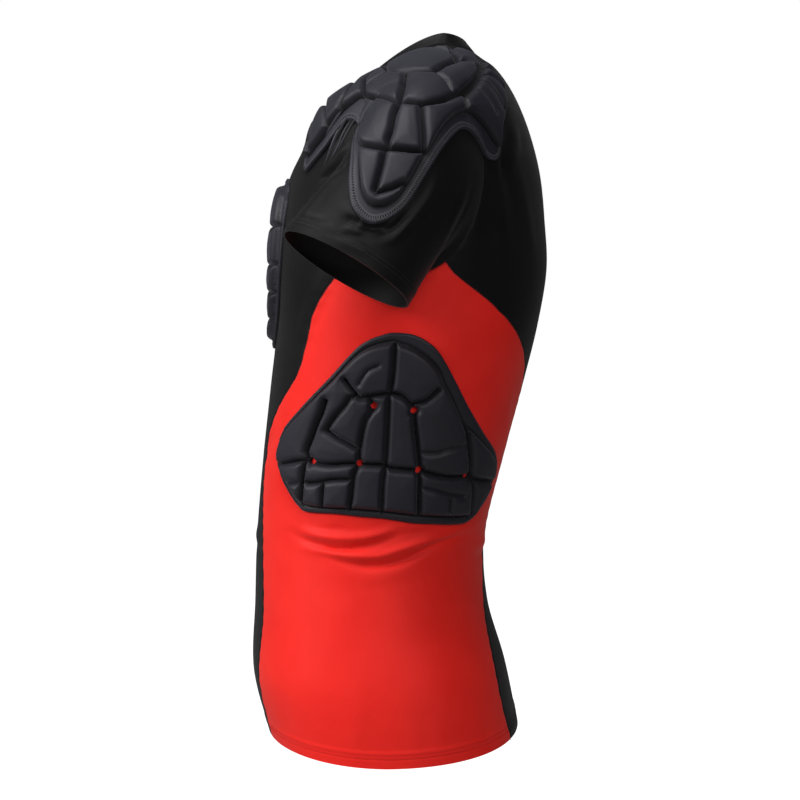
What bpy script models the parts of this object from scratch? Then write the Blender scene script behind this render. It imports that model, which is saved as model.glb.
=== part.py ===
"""Padded compression shirt in the shape it has when worn: crew neck, short sleeves, side panels and pads.

Everything is worked out in millimetres and built in metres. +Z is up, the wearer faces -Y, and +X is
the wearer's left. The origin lies between the shoulders, where the neck and shoulders hold the shirt up.
The cloth is one smooth body skin and one smooth sleeve skin. Each panel is a stretch of a skin between
its seams, given its wall inwards, and each pad is a quilted sheet that lies just outside them.
"""
import math
from collections import namedtuple

import bmesh
import bpy
from mathutils import Vector
from mathutils.bvhtree import BVHTree
from mathutils.geometry import delaunay_2d_cdt

# Cloth and seams
CLOTH = 1.2
SEAM_GAP = 0.3
ARMHOLE_GAP = 0.5
COLLAR_WALL, COLLAR_PROUD = 2.4, 0.6

# The body skin, one row for each section from the hem up to the neck. A section passes through a front
# point and a back point on the middle line and a side point, and "round" is the exponent of its outline.
Section = namedtuple("Section", "front_y front_z back_y back_z side_x side_y side_z front_round back_round")
SECTIONS = [
    Section(-127, -622, 105, -625, 166, -16, -631, 2.5, 2.4),
    Section(-141, -570, 94, -570, 165, -22, -570, 2.4, 2.3),
    Section(-140, -510, 77, -510, 154, -31, -510, 2.2, 2.2),
    Section(-138, -450, 74, -450, 145, -32, -450, 2.2, 2.3),
    Section(-132, -380, 90, -380, 147, -21, -380, 2.3, 2.4),
    Section(-124, -310, 108, -310, 154, -8, -310, 2.4, 2.4),
    Section(-118, -255, 122, -255, 160, 0, -255, 2.4, 2.4),
    Section(-118, -205, 130, -205, 164, 6, -205, 2.4, 2.3),
    Section(-115, -160, 128, -160, 171, 8, -155, 2.3, 2.2),
    Section(-106, -122, 124, -118, 179, 10, -110, 2.2, 2.1),
    Section(-94, -96, 115, -82, 184, 12, -74, 2.1, 2.0),
    Section(-89, -78, 104, -54, 178, 14, -51, 2.1, 2.0),
    Section(-84, -69, 93, -34, 150, 18, -36, 2.1, 2.0),
    Section(-74, -67, 82, -20, 120, 23, -24, 2.0, 2.0),
    Section(-67, -65, 72, -13, 93, 28, -14, 2.0, 2.0),
    Section(-62, -62, 63, -6, 73, 32, -4, 2.0, 2.0),
    Section(-56, -51, 55, 3, 65, 34, 6, 2.0, 2.0),
]
NECK_ROW = len(SECTIONS) - 2.0
COLLAR_ROW = len(SECTIONS) - 1.0
# How a section falls from its side point to its front and back points
SLOPE = 1.5
# How often a range of rows is halved to find a row
HALVINGS = 40

# The armhole, an ellipse on the body skin between two section rows, this many degrees wide each way
UNDERARM_ROW, SHOULDER_ROW = 7.0, 11.0
ARMHOLE_MIDDLE = (UNDERARM_ROW + SHOULDER_ROW) / 2
ARMHOLE_HALF = (SHOULDER_ROW - UNDERARM_ROW) / 2
ARMHOLE_FRONT, ARMHOLE_BACK = 29.0, 29.0

# The seams of the side panel, in degrees round from the side, by section row
Seam = namedtuple("Seam", "row front back")
SIDE_SEAMS = [
    Seam(0.0, 63, 62),
    Seam(1.0, 62, 61),
    Seam(2.0, 60, 70),
    Seam(3.0, 63, 80),
    Seam(4.0, 70, 82),
    Seam(4.6, 62, 81),
    Seam(5.2, 47, 71),
    Seam(5.8, 43, 54),
    Seam(6.3, 40, 38),
    Seam(7.0, 29, 16),
    Seam(8.0, 16, 0),
]

# The left sleeve: the ring of its hem, and the way that it points
SLEEVE_HEM_MIDDLE = Vector((212, -49, -202))
SLEEVE_WAY = Vector((0.25, -0.49, -0.835)).normalized()
SLEEVE_DEPTH_WAY = Vector((0, 0.862, -0.506))
SLEEVE_HALF_DEPTH, SLEEVE_HALF_WIDTH = 59.0, 49.0
SLEEVE_ROWS = 8
# The way that its lines leave the armhole, and how far along they turn, as shares of their length
SLEEVE_OUT = (Vector((0.75, 0, 0)) + SLEEVE_WAY * 0.45).normalized()
SLEEVE_LEAVE, SLEEVE_ARRIVE = 0.32, 0.42

# The largest folds: how far each stands out, its half width, and its line. The waist's lines are in mm
# round from the side and in height, and a sleeve's in degrees round from its top and in mm down it.
Fold = namedtuple("Fold", "rise width points")
WAIST_FOLDS = [
    Fold(2.0, 6.0, [(-95, -430), (-40, -438), (20, -443), (80, -444), (118, -442)]),
    Fold(1.8, 6.0, [(-80, -446), (-30, -454), (20, -458), (70, -458), (105, -455)]),
    Fold(1.2, 7.0, [(-50, -465), (10, -472), (70, -470)]),
]
SLEEVE_FOLDS = [
    Fold(2.4, 8.0, [(104, 60), (74, 82), (46, 92)]),
    Fold(2.0, 8.0, [(98, 34), (72, 54), (50, 64)]),
]
SLEEVE_LENGTH = 130.0

# The pads: the gap under a pad, its stitched rim, its quilted cells and the slope beside each groove
PAD_LIFT, SHOULDER_LIFT = 0.8, 1.2
RIM_THICK, RIM_WIDTH = 2.0, 7.0
CELL_THICK, CELL_SLOPE = 8.5, 6.0
OUTLINE_STEP, GROOVE_STEP, FILL_STEP, UNDER_STEP = 12.0, 11.0, 15.0, 13.0
VENT_RADIUS, VENT_SIDES, VENT_CLEAR = 2.9, 6, 2.0
SKIN_FINE = 3

# A groove of a pad's pattern, in mm, and the share of the cells' height that it takes away
Groove = namedtuple("Groove", "depth points")

# The shoulder pad's pattern: mm forward and mm down the sleeve from its middle, laid on the cloth from a
# point inside the shoulder. It is a dome of cells with a tongue and a wing to the front and the back.
SHOULDER_EYE = Vector((120, 10, -150))
SHOULDER_OUT = Vector((0.5, -0.05, 0.86)).normalized()
SHOULDER_DOWN = Vector((130, -35, -13))
SHOULDER_RADIUS = 118.0
SHOULDER_REACH, SHOULDER_STEP = 260.0, 6.0
# Where a line of sight slips through a seam, these steps aside, in mm, are tried
SHOULDER_NUDGES = (0.0, 0.8, -0.8, 1.6, -1.6)
SHOULDER_OUTLINE = [
    (152, 6), (134, 14), (110, 16), (84, 12), (62, 11), (50, 26), (44, 52), (33, 82), (27, 108),
    (19, 128), (3, 138), (-14, 131), (-27, 112), (-37, 78), (-46, 46), (-57, 24), (-76, 17), (-98, 6),
    (-111, -12), (-108, -28), (-94, -40), (-85, -58), (-72, -80), (-48, -92), (-22, -94), (4, -88),
    (28, -86), (46, -66), (66, -50), (96, -45), (124, -37), (146, -18),
]
SHOULDER_GROOVES = [
    Groove(1.0, [(36, -44), (17, -7), (-16, -5), (-24, -46), (-10, -66), (22, -74), (36, -44)]),
    Groove(1.0, [(38, 4), (24, 18), (0, 37), (-19, 35), (-33, 18), (-41, -14), (-42, -40), (-33, -70)]),
    Groove(1.0, [(38, 4), (44, -16), (42, -34), (36, -44)]),
    Groove(1.0, [(17, -7), (38, 4)]),
    Groove(1.0, [(2, -6), (0, 37)]),
    Groove(1.0, [(-16, -5), (-33, 18)]),
    Groove(1.0, [(-24, -46), (-42, -40)]),
    Groove(1.0, [(-10, -66), (-22, -82), (-33, -70)]),
    Groove(1.0, [(36, 76), (23, 79), (1, 83), (-28, 77), (-36, 50), (-46, 25)]),
    Groove(0.7, [(17, 32), (20, 60)]),
    Groove(1.0, [(0, 37), (-1, 83)]),
    Groove(1.0, [(-19, 35), (-28, 77)]),
    Groove(1.0, [(6, 83), (2, 114)]),
    Groove(0.8, [(20, 103), (2, 114), (-20, 106)]),
    Groove(1.0, [(-42, -40), (-56, -38), (-68, -41), (-78, -47)]),
    Groove(1.0, [(-41, -52), (-52, -55), (-64, -60), (-74, -66)]),
    Groove(1.0, [(-33, -70), (-46, -76), (-62, -80)]),
    Groove(0.6, [(-46, -19), (-54, -19), (-64, -21)]),
    Groove(1.0, [(-46, 14), (-62, 2), (-77, -9), (-94, -19)]),
    Groove(1.0, [(64, 4), (60, -20), (66, -42)]),
    Groove(1.0, [(88, 6), (84, -18), (90, -38)]),
    Groove(1.0, [(116, 7), (112, -14), (117, -32)]),
]

# The rib pad's pattern: mm round towards the back from the side, and the height
RIB_MIDDLE, RIB_RADIUS = 0.0, 128.0
RIB_OUTLINE = [
    (-16, -257), (10, -258), (30, -267), (44, -284), (58, -304), (75, -324), (98, -344), (122, -361),
    (134, -377), (137, -395), (128, -414), (106, -425), (70, -425), (36, -420), (0, -416), (-40, -414),
    (-75, -411), (-98, -400), (-114, -385), (-120, -366), (-112, -346), (-93, -325), (-66, -297), (-40, -267),
]
RIB_GROOVES = [
    Groove(1.0, [(-7, -264), (-2, -309)]),
    Groove(1.0, [(-48, -296), (-34, -311), (-19, -319), (-11, -311), (-2, -308), (8, -312), (19, -322),
                 (31, -316), (42, -302)]),
    Groove(1.0, [(-2, -308), (4, -372)]),
    Groove(1.0, [(-19, -319), (-23, -369)]),
    Groove(1.0, [(19, -322), (26, -345), (36, -375)]),
    Groove(1.0, [(-112, -374), (-71, -369), (-23, -369), (4, -372), (36, -375), (88, -382), (131, -391)]),
    Groove(1.0, [(-36, -311), (-60, -341), (-30, -355)]),
    Groove(1.0, [(-74, -322), (-67, -345), (-71, -369)]),
    Groove(0.7, [(31, -357), (70, -354)]),
    Groove(1.0, [(73, -332), (80, -360), (88, -382)]),
    Groove(1.0, [(-76, -369), (-75, -407)]),
    Groove(1.0, [(-27, -369), (-24, -410)]),
    Groove(1.0, [(7, -372), (10, -411)]),
    Groove(1.0, [(38, -375), (44, -417)]),
    Groove(1.0, [(90, -382), (103, -420)]),
    Groove(0.5, [(-72, -388), (-32, -384)]),
    Groove(0.5, [(44, -390), (92, -401)]),
]
RIB_VENTS = [(-19, -319), (19, -322), (-71, -368), (-23, -369), (36, -375), (88, -382)]

# The chest pad's pattern: mm round from the middle of the front, and the height; half of it, then mirrored
CHEST_MIDDLE, CHEST_RADIUS = -90.0, 165.0
CHEST_HALF_OUTLINE = [
    (0, -121), (36, -123), (62, -131), (74, -150), (76, -180), (72, -210), (61, -240), (42, -264), (18, -276),
]
CHEST_SPINE = [(0, -128), (0, -272)]
# The rows between its cells: the height at the middle and the sides, and how far they dip between
CHEST_ROWS = [(-163, 5), (-196, 6), (-220, 6), (-246, 5)]
CHEST_HALF_WIDTH = 80
CHEST_SIDE_SPLIT, CHEST_SIDE_FOOT = 40, -196

TO_METRES = 0.001


def smooth_between(before, start, end, after, share):
    """A smooth curve's value between start and end, through evenly spaced values (Catmull-Rom)."""
    slope_in, slope_out = (end - before) / 2, (after - start) / 2
    bend = start - end
    return (((2 * bend + slope_in + slope_out) * share - 3 * bend - 2 * slope_in - slope_out) * share
            + slope_in) * share + start


def smooth_curve(points, step, closed=False):
    """Places about this far apart along a smooth curve through the points (Catmull-Rom)."""
    count = len(points)
    places = []
    for k in range(count if closed else count - 1):
        near = [points[(k + shift) % count if closed else min(max(k + shift, 0), count - 1)]
                for shift in (-1, 0, 1, 2)]
        steps = max(1, round(math.dist(near[1], near[2]) / step))
        for s in range(steps):
            places.append(tuple(smooth_between(*values, s / steps) for values in zip(*near)))
    if not closed:
        places.append(tuple(points[-1]))
    return places


def line_distance(place, line):
    """How far a place of a pattern is from a line of straight stretches."""
    best = math.inf
    for (ax, ay), (bx, by) in zip(line, line[1:]):
        dx, dy = bx - ax, by - ay
        share = ((place[0] - ax) * dx + (place[1] - ay) * dy) / max(dx * dx + dy * dy, 1e-12)
        share = min(max(share, 0.0), 1.0)
        best = min(best, math.hypot(place[0] - ax - dx * share, place[1] - ay - dy * share))
    return best


def section_at(row):
    """The section at any row number, smoothly between the rows of the table."""
    low = min(max(int(math.floor(row)), 0), len(SECTIONS) - 2)
    rows = [SECTIONS[min(max(low + step, 0), len(SECTIONS) - 1)] for step in (-1, 0, 1, 2)]
    return Section(*(smooth_between(*values, row - low) for values in zip(*rows)))


def body_point(row, angle):
    """A point of the body skin. The angle is in degrees: 0 at the left side, 90 at the back."""
    section = section_at(row)
    cosine, sine = math.cos(math.radians(angle)), math.sin(math.radians(angle))
    back = sine > 0
    power = section.back_round if back else section.front_round
    reach = (abs(cosine) ** power + abs(sine) ** power) ** (-1 / power)
    across, away = reach * cosine, reach * abs(sine)
    end_y, end_z = (section.back_y, section.back_z) if back else (section.front_y, section.front_z)
    return Vector((
        section.side_x * across,
        section.side_y + (end_y - section.side_y) * away,
        section.side_z + (end_z - section.side_z) * away ** SLOPE,
    ))


def body_normal(row, angle):
    """The way out of the body skin."""
    step_row, step_angle = 0.05, 1.0
    up = body_point(min(row + step_row, COLLAR_ROW), angle) - body_point(max(row - step_row, 0), angle)
    round_ = body_point(row, angle + step_angle) - body_point(row, angle - step_angle)
    return round_.cross(up).normalized()


def fold_height(place, folds):
    """How far the folds lift the cloth at a place of their chart."""
    return sum(fold.rise * math.exp(-(line_distance(place, fold.points) / fold.width) ** 2) for fold in folds)


def cloth_point(row, angle, depth=0.0):
    """A point of the cloth with its folds, this deep in its wall. The angle is as in body_point."""
    point = body_point(row, angle)
    side = angle if abs(angle) <= 90 else math.copysign(180, angle) - angle
    place = math.radians(side) * RIB_RADIUS, section_at(row).side_z
    return point + body_normal(row, angle) * (fold_height(place, WAIST_FOLDS) - depth)


def armhole_angle(row, reach):
    """Degrees from the side to the armhole's edge at a section row."""
    return reach * math.sqrt(max(0.0, 1 - ((row - ARMHOLE_MIDDLE) / ARMHOLE_HALF) ** 2))


def seam_angle(row, side):
    """Degrees from the side to the side panel's front or back seam at a section row."""
    last = len(SIDE_SEAMS) - 1
    upper = next(k for k in range(1, last + 1) if row <= SIDE_SEAMS[k].row or k == last)
    rows = [SIDE_SEAMS[min(max(k, 0), last)] for k in range(upper - 2, upper + 2)]
    share = (row - rows[1].row) / (rows[2].row - rows[1].row)
    return smooth_between(*(getattr(seam, side) for seam in rows), share)


def seam_top(side, reach):
    """The section row where a side seam runs into the armhole."""
    low, high = UNDERARM_ROW, ARMHOLE_MIDDLE
    for _ in range(HALVINGS):
        middle = (low + high) / 2
        if armhole_angle(middle, reach) < seam_angle(middle, side):
            low = middle
        else:
            high = middle
    return low


FRONT_TOP = seam_top("front", ARMHOLE_FRONT)
BACK_TOP = seam_top("back", ARMHOLE_BACK)

# Shares of the way up a side seam where a grid has its rows, close together where the waist folds lie
CLIMB = [0, 0.08, 0.16, 0.24, 0.31, 0.34, 0.355, 0.37, 0.385, 0.4, 0.415, 0.43, 0.445, 0.47, 0.52, 0.6,
         0.68, 0.76, 0.84, 0.92, 1]
ARMHOLE_STEPS, SHOULDER_STEPS, NECK_STEPS = 7, 5, 2
FRONT_COLUMNS, SIDE_COLUMNS = 14, 9


def refined(values, fine):
    """The values with this many even steps between each two, instead of one."""
    steps = [low + (high - low) * step / fine
             for low, high in zip(values, values[1:]) for step in range(fine)]
    return steps + [values[-1]]


def armhole_arc(row, reach, steps):
    """(row, angle) points up the armhole's edge, from a section row to the shoulder tip."""
    first = math.asin((row - ARMHOLE_MIDDLE) / ARMHOLE_HALF)
    turns = [first + (math.pi / 2 - first) * step / steps for step in range(steps + 1)]
    return [(ARMHOLE_MIDDLE + ARMHOLE_HALF * math.sin(turn), reach * math.cos(turn)) for turn in turns]


def seam_inset(row, side):
    """Half the seam's gap, in degrees round the body, at right angles to a side seam or a shoulder seam."""
    turn = -1 if side == "front" else 1
    top = FRONT_TOP if side == "front" else BACK_TOP
    low, here, high = (0.0 if at > SHOULDER_ROW - 1 else turn * seam_angle(min(at, top), side)
                       for at in (row - 0.05, row, row + 0.05))
    along = body_point(row + 0.05, high) - body_point(row - 0.05, low)
    across = body_point(row, here + 1) - body_point(row, here)
    return SEAM_GAP / 2 * along.length / across.cross(along).length


def main_panel(side, fine=1):
    """Grid of (row, angle) for the front or the back, from hem to neck and from left seam to right."""
    top, reach = (FRONT_TOP, ARMHOLE_FRONT) if side == "front" else (BACK_TOP, ARMHOLE_BACK)
    turn = -1 if side == "front" else 1
    edges = [(top * share, seam_angle(top * share, side)) for share in refined(CLIMB, fine)]
    edges += armhole_arc(top, reach, ARMHOLE_STEPS * fine)[1:]
    shoulder = SHOULDER_STEPS * fine
    rise = (NECK_ROW - SHOULDER_ROW) / shoulder
    edges += [(SHOULDER_ROW + rise * step, 0.0) for step in range(1, shoulder + 1)]
    columns = FRONT_COLUMNS * fine
    grid = []
    for row, edge in edges:
        start = edge + seam_inset(row, side)
        span = (180 - 2 * start) / columns
        grid.append([(row, turn * (start + span * column)) for column in range(columns + 1)])
    return grid


def side_angle(row, share):
    """The angle in the side panel that lies this share of the way from its front seam to its back seam."""
    return -seam_angle(row, "front") * (1 - share) + seam_angle(row, "back") * share


def side_top_row(share):
    """The section row where a column of the side panel ends in the armhole."""
    low, high = UNDERARM_ROW, max(FRONT_TOP, BACK_TOP)
    for _ in range(HALVINGS):
        middle = (low + high) / 2
        angle = side_angle(middle, share)
        if abs(angle) > armhole_angle(middle, ARMHOLE_FRONT if angle < 0 else ARMHOLE_BACK):
            low = middle
        else:
            high = middle
    return low


def side_panel(fine=1):
    """Grid of (row, angle) for the left side panel, from hem to armhole and from front seam to back."""
    columns = SIDE_COLUMNS * fine
    shares = [column / columns for column in range(columns + 1)]
    tops = [FRONT_TOP] + [side_top_row(share) for share in shares[1:-1]] + [BACK_TOP]
    grid = []
    for climb in refined(CLIMB, fine):
        line = []
        for share, top in zip(shares, tops):
            row = top * climb
            inset = seam_inset(row, "front") * (1 - share) - seam_inset(row, "back") * share
            line.append((row, side_angle(row, share) + inset))
        grid.append(line)
    return grid


def armhole_loop(fine=1):
    """(row, angle) points round the left armhole: shoulder tip, down the front, underarm, up the back."""
    steps, columns = ARMHOLE_STEPS * fine, SIDE_COLUMNS * fine
    front = [(row, -angle) for row, angle in armhole_arc(FRONT_TOP, ARMHOLE_FRONT, steps)]
    back = armhole_arc(BACK_TOP, ARMHOLE_BACK, steps)
    under = [(side_top_row(column / columns), column / columns) for column in range(1, columns)]
    return front[::-1] + [(row, side_angle(row, share)) for row, share in under] + back[:-1]


def sleeve_curve(edge, turn):
    """The four control points of a line down the sleeve, from a point of the armhole to the hem ring."""
    across = SLEEVE_WAY.cross(SLEEVE_DEPTH_WAY.normalized())
    along = across.cross(SLEEVE_WAY)
    end = (SLEEVE_HEM_MIDDLE + across * SLEEVE_HALF_WIDTH * math.cos(turn)
           - along * SLEEVE_HALF_DEPTH * math.sin(turn))
    length = (end - edge).length
    leave, arrive = SLEEVE_OUT * (SLEEVE_LEAVE * length), SLEEVE_WAY * (SLEEVE_ARRIVE * length)
    return edge + SLEEVE_OUT * ARMHOLE_GAP, edge + leave, end - arrive, end


def bezier(points, share):
    rest = 1 - share
    weights = (rest ** 3, 3 * rest * rest * share, 3 * rest * share * share, share ** 3)
    return sum((point * weight for point, weight in zip(points, weights)), Vector())


def sleeve_grid(fine=1):
    """Points of the left sleeve's smooth skin, a ring for each row from the armhole to the hem."""
    curves = [sleeve_curve(body_point(*place), turn)
              for place, turn in zip(armhole_loop(fine), sleeve_turns(fine))]
    rows = SLEEVE_ROWS * fine
    return [[bezier(curve, row / rows) for curve in curves] for row in range(rows + 1)]


def sleeve_turns(fine=1):
    """How far round the sleeve each line down it lies, from its top and the front way first."""
    middle = (body_point(UNDERARM_ROW, 0) + body_point(SHOULDER_ROW, 0)) / 2
    points = [body_point(*place) for place in armhole_loop(fine)]
    return [math.atan2(middle.y - p.y, p.z - middle.z) for p in points]


def ring_normals(grid):
    """The way out at each point of a sleeve's rings, which run down the front first."""
    rows, columns = len(grid), len(grid[0])
    normals = []
    for r in range(rows):
        line = []
        for c in range(columns):
            across = grid[r][(c + 1) % columns] - grid[r][c - 1]
            down = grid[min(r + 1, rows - 1)][c] - grid[max(r - 1, 0)][c]
            line.append(across.cross(down).normalized())
        normals.append(line)
    return normals


def material(name, colour, roughness):
    made = bpy.data.materials.new(name)
    made.use_nodes = True
    shader = made.node_tree.nodes["Principled BSDF"]
    shader.inputs["Base Color"].default_value = (*colour, 1)
    shader.inputs["Roughness"].default_value = roughness
    shader.inputs["Metallic"].default_value = 0.0
    return made


def new_object(name, points, faces, finish):
    """An object from points in millimetres, with its faces turned outwards."""
    mesh = bpy.data.meshes.new(name)
    mesh.from_pydata([point * TO_METRES for point in points], [], faces)
    mesh.validate()
    made = bmesh.new()
    made.from_mesh(mesh)
    bmesh.ops.recalc_face_normals(made, faces=made.faces)
    made.to_mesh(mesh)
    made.free()
    mesh.materials.append(finish)
    item = bpy.data.objects.new(name, mesh)
    bpy.context.scene.collection.objects.link(item)
    return item


def wall_solid(name, outer, inner, finish, closed=False):
    """A closed wall between two grids of points, whose last column joins the first if it is closed."""
    rows, columns = len(outer), len(outer[0])
    points = [p for line in outer for p in line] + [p for line in inner for p in line]
    skin = rows * columns
    spans = columns if closed else columns - 1

    def at(r, c, side):
        return side * skin + r * columns + c % columns

    faces = []
    for r in range(rows - 1):
        for c in range(spans):
            faces.append((at(r, c, 0), at(r, c + 1, 0), at(r + 1, c + 1, 0), at(r + 1, c, 0)))
            faces.append((at(r, c, 1), at(r + 1, c, 1), at(r + 1, c + 1, 1), at(r, c + 1, 1)))
    for c in range(spans):
        for r in (0, rows - 1):
            faces.append((at(r, c, 0), at(r, c + 1, 0), at(r, c + 1, 1), at(r, c, 1)))
    if not closed:
        for r in range(rows - 1):
            for c in (0, columns - 1):
                faces.append((at(r, c, 0), at(r + 1, c, 0), at(r + 1, c, 1), at(r, c, 1)))
    return new_object(name, points, faces, finish)


def mirrored(grid):
    return [[Vector((-p.x, p.y, p.z)) for p in line] for line in grid]


def row_at(height, point):
    """The section row whose front or side point is at a height."""
    low, high = 0.0, SHOULDER_ROW + 1
    for _ in range(HALVINGS):
        middle = (low + high) / 2
        if getattr(section_at(middle), point) < height:
            low = middle
        else:
            high = middle
    return low


def rib_place(across, height):
    """The cloth point and the way out at a place of the rib pad's pattern."""
    place = row_at(height, "side_z"), RIB_MIDDLE + math.degrees(across / RIB_RADIUS)
    return body_point(*place), body_normal(*place)


def chest_place(across, height):
    """The cloth point and the way out at a place of the chest pad's pattern."""
    place = row_at(height, "front_z"), CHEST_MIDDLE + math.degrees(across / CHEST_RADIUS)
    return body_point(*place), body_normal(*place)


def left_skin():
    """The left half of the cloth as one surface for finding points on it."""
    points, faces = [], []
    panels = (main_panel("front", SKIN_FINE), main_panel("back", SKIN_FINE), side_panel(SKIN_FINE))
    grids = [[[body_point(*place) for place in line] for line in panel] for panel in panels]
    sleeve = sleeve_grid(SKIN_FINE)
    grids.append([line + line[:1] for line in sleeve])
    for grid in grids:
        rows, columns = len(grid), len(grid[0])
        start = len(points)
        points += [p for line in grid for p in line]
        for r in range(rows - 1):
            for c in range(columns - 1):
                corner = start + r * columns + c
                faces.append((corner, corner + 1, corner + columns + 1, corner + columns))
    return BVHTree.FromPolygons(points, faces)


def shoulder_point(skin, forward, down):
    """The cloth point that lies this far forward and down the sleeve from the pad's middle."""
    along = (SHOULDER_DOWN - SHOULDER_OUT * SHOULDER_DOWN.dot(SHOULDER_OUT)).normalized()
    ahead = along.cross(SHOULDER_OUT)
    for nudge in SHOULDER_NUDGES:
        reach = math.hypot(forward, down + nudge)
        turn = reach / SHOULDER_RADIUS
        way = (ahead * forward + along * (down + nudge)) / max(reach, 1e-9)
        sight = SHOULDER_OUT * math.cos(turn) + way * math.sin(turn)
        found = skin.ray_cast(SHOULDER_EYE, sight, SHOULDER_REACH)[0]
        if found:
            return found
    raise ValueError("the shoulder pad runs off the cloth")


def shoulder_place(skin, forward, down):
    """The cloth point and the way out at a place of the shoulder pad's pattern."""
    step = SHOULDER_STEP
    ahead = shoulder_point(skin, forward + step, down) - shoulder_point(skin, forward - step, down)
    along = shoulder_point(skin, forward, down + step) - shoulder_point(skin, forward, down - step)
    return shoulder_point(skin, forward, down), ahead.cross(along).normalized()


def inside(place, loop):
    """Whether a place of a pattern lies inside a closed loop."""
    x, y = place[0], place[1]
    crossings = 0
    for (ax, ay), (bx, by) in zip(loop, loop[1:] + loop[:1]):
        if (ay > y) != (by > y) and x < ax + (bx - ax) * (y - ay) / (by - ay):
            crossings += 1
    return crossings % 2 == 1


def smooth_step(share):
    share = min(max(share, 0.0), 1.0)
    return share * share * (3 - 2 * share)


class Pattern:
    """A quilted pad's flat pattern: its outline, the grooves between its cells and its vents."""

    def __init__(self, outline, grooves, vents=()):
        self.outline = smooth_curve(outline, OUTLINE_STEP, closed=True)
        self.grooves = [(groove.depth, smooth_curve(groove.points, GROOVE_STEP)) for groove in grooves]
        self.vents = [ring(middle, VENT_RADIUS, VENT_SIDES) for middle in vents]
        self.vent_middles = list(vents)

    def edge_distance(self, place):
        return line_distance(place, self.outline + self.outline[:1])

    def vent_distance(self, place):
        return min((math.dist(place, middle) for middle in self.vent_middles), default=math.inf) - VENT_RADIUS

    def thickness(self, place):
        """How thick the pad is at a place: thin in its rim and grooves, full in the middle of a cell."""
        full = smooth_step((self.edge_distance(place) - RIM_WIDTH) / CELL_SLOPE)
        full = min(full, smooth_step(self.vent_distance(place) / CELL_SLOPE))
        for depth, line in self.grooves:
            full = min(full, 1 - depth * (1 - smooth_step(line_distance(place, line) / CELL_SLOPE)))
        return RIM_THICK + (CELL_THICK - RIM_THICK) * full

    def clear(self, place, edge, groove):
        """Whether a place is this far inside the outline and this far from every groove and vent."""
        return (inside(place, self.outline) and self.edge_distance(place) > edge
                and self.vent_distance(place) > max(groove / 2, VENT_CLEAR)
                and all(line_distance(place, line) > groove for _, line in self.grooves))

    def top_places(self):
        """Places of the quilted top inside its outline, and the pairs that lie along a groove."""
        places, pairs = [], []
        for _, line in self.grooves:
            kept = [self.clear(place, RIM_WIDTH, -1.0) for place in line]
            for k, place in enumerate(line):
                if kept[k]:
                    places.append(place)
                    if k and kept[k - 1] and self.vent_distance(mean_of(line[k - 1], place)) > VENT_CLEAR:
                        pairs.append((len(places) - 2, len(places) - 1))
            for start, end in zip(line, line[1:]):
                for side in beside(start, end, CELL_SLOPE):
                    if self.clear(side, RIM_WIDTH + CELL_SLOPE * 0.6, CELL_SLOPE * 0.8):
                        places.append(side)
        loop = self.outline
        for reach in (RIM_WIDTH, RIM_WIDTH + CELL_SLOPE):
            for start, end in zip(loop, loop[1:] + loop[:1]):
                for side in beside(start, end, reach):
                    if self.clear(side, reach - 1.0, CELL_SLOPE * 0.6):
                        places.append(side)
        for place in honeycomb(loop, FILL_STEP):
            if self.clear(place, RIM_WIDTH + CELL_SLOPE * 1.6, CELL_SLOPE * 1.6):
                places.append(place)
        return thinned(places, pairs, CELL_SLOPE * 0.5)

    def under_places(self):
        """Places of the plain underside inside its outline."""
        return [place for place in honeycomb(self.outline, UNDER_STEP)
                if inside(place, self.outline) and self.edge_distance(place) > UNDER_STEP * 0.4
                and self.vent_distance(place) > UNDER_STEP * 0.3]

    def sheet(self, places, pairs=()):
        """Places and triangles of the pattern: its outline and vents come first, in their order."""
        points, edges = [], []
        for loop in [self.outline] + self.vents:
            start = len(points)
            points += loop
            edges += [(start + k, start + (k + 1) % len(loop)) for k in range(len(loop))]
        start = len(points)
        edges += [(start + a, start + b) for a, b in pairs]
        points += places
        made, _, faces, origins = delaunay_2d_cdt([Vector(p) for p in points], edges, [], 0, 1e-5)[:4]
        order = {source: k for k, sources in enumerate(origins) for source in sources}
        rank = {order[k]: k for k in range(start)}
        renamed, places_out = {}, [tuple(p) for p in points[:start]]
        for k, place in enumerate(made):
            if k in rank:
                renamed[k] = rank[k]
            else:
                renamed[k] = len(places_out)
                places_out.append(tuple(place))
        triangles = []
        for face in faces:
            centre = [sum(made[k][axis] for k in face) / 3 for axis in (0, 1)]
            if inside(centre, self.outline) and not any(inside(centre, vent) for vent in self.vents):
                triangles.append([renamed[k] for k in face])
        return places_out, triangles, start


def mean_of(a, b):
    return (a[0] + b[0]) / 2, (a[1] + b[1]) / 2


def beside(start, end, reach):
    """The two places that lie this far to the sides of the middle of a stretch."""
    dx, dy = end[0] - start[0], end[1] - start[1]
    length = math.hypot(dx, dy)
    x, y = mean_of(start, end)
    return [(x - dy / length * reach * turn, y + dx / length * reach * turn) for turn in (1, -1)]


def ring(middle, radius, sides):
    """Places evenly round a middle."""
    turns = [math.tau * k / sides for k in range(sides)]
    return [(middle[0] + radius * math.cos(turn), middle[1] + radius * math.sin(turn)) for turn in turns]


def honeycomb(loop, step):
    """Places of an even honeycomb over the box round a loop."""
    low_x, high_x = min(x for x, _ in loop), max(x for x, _ in loop)
    low_y, high_y = min(y for _, y in loop), max(y for _, y in loop)
    rise = step * math.sqrt(3) / 2
    lines, columns = int((high_y - low_y) / rise) + 1, int((high_x - low_x) / step) + 1
    return [(low_x + step * (column + 0.5 * (line % 2)), low_y + rise * line)
            for line in range(lines) for column in range(columns)]


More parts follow.
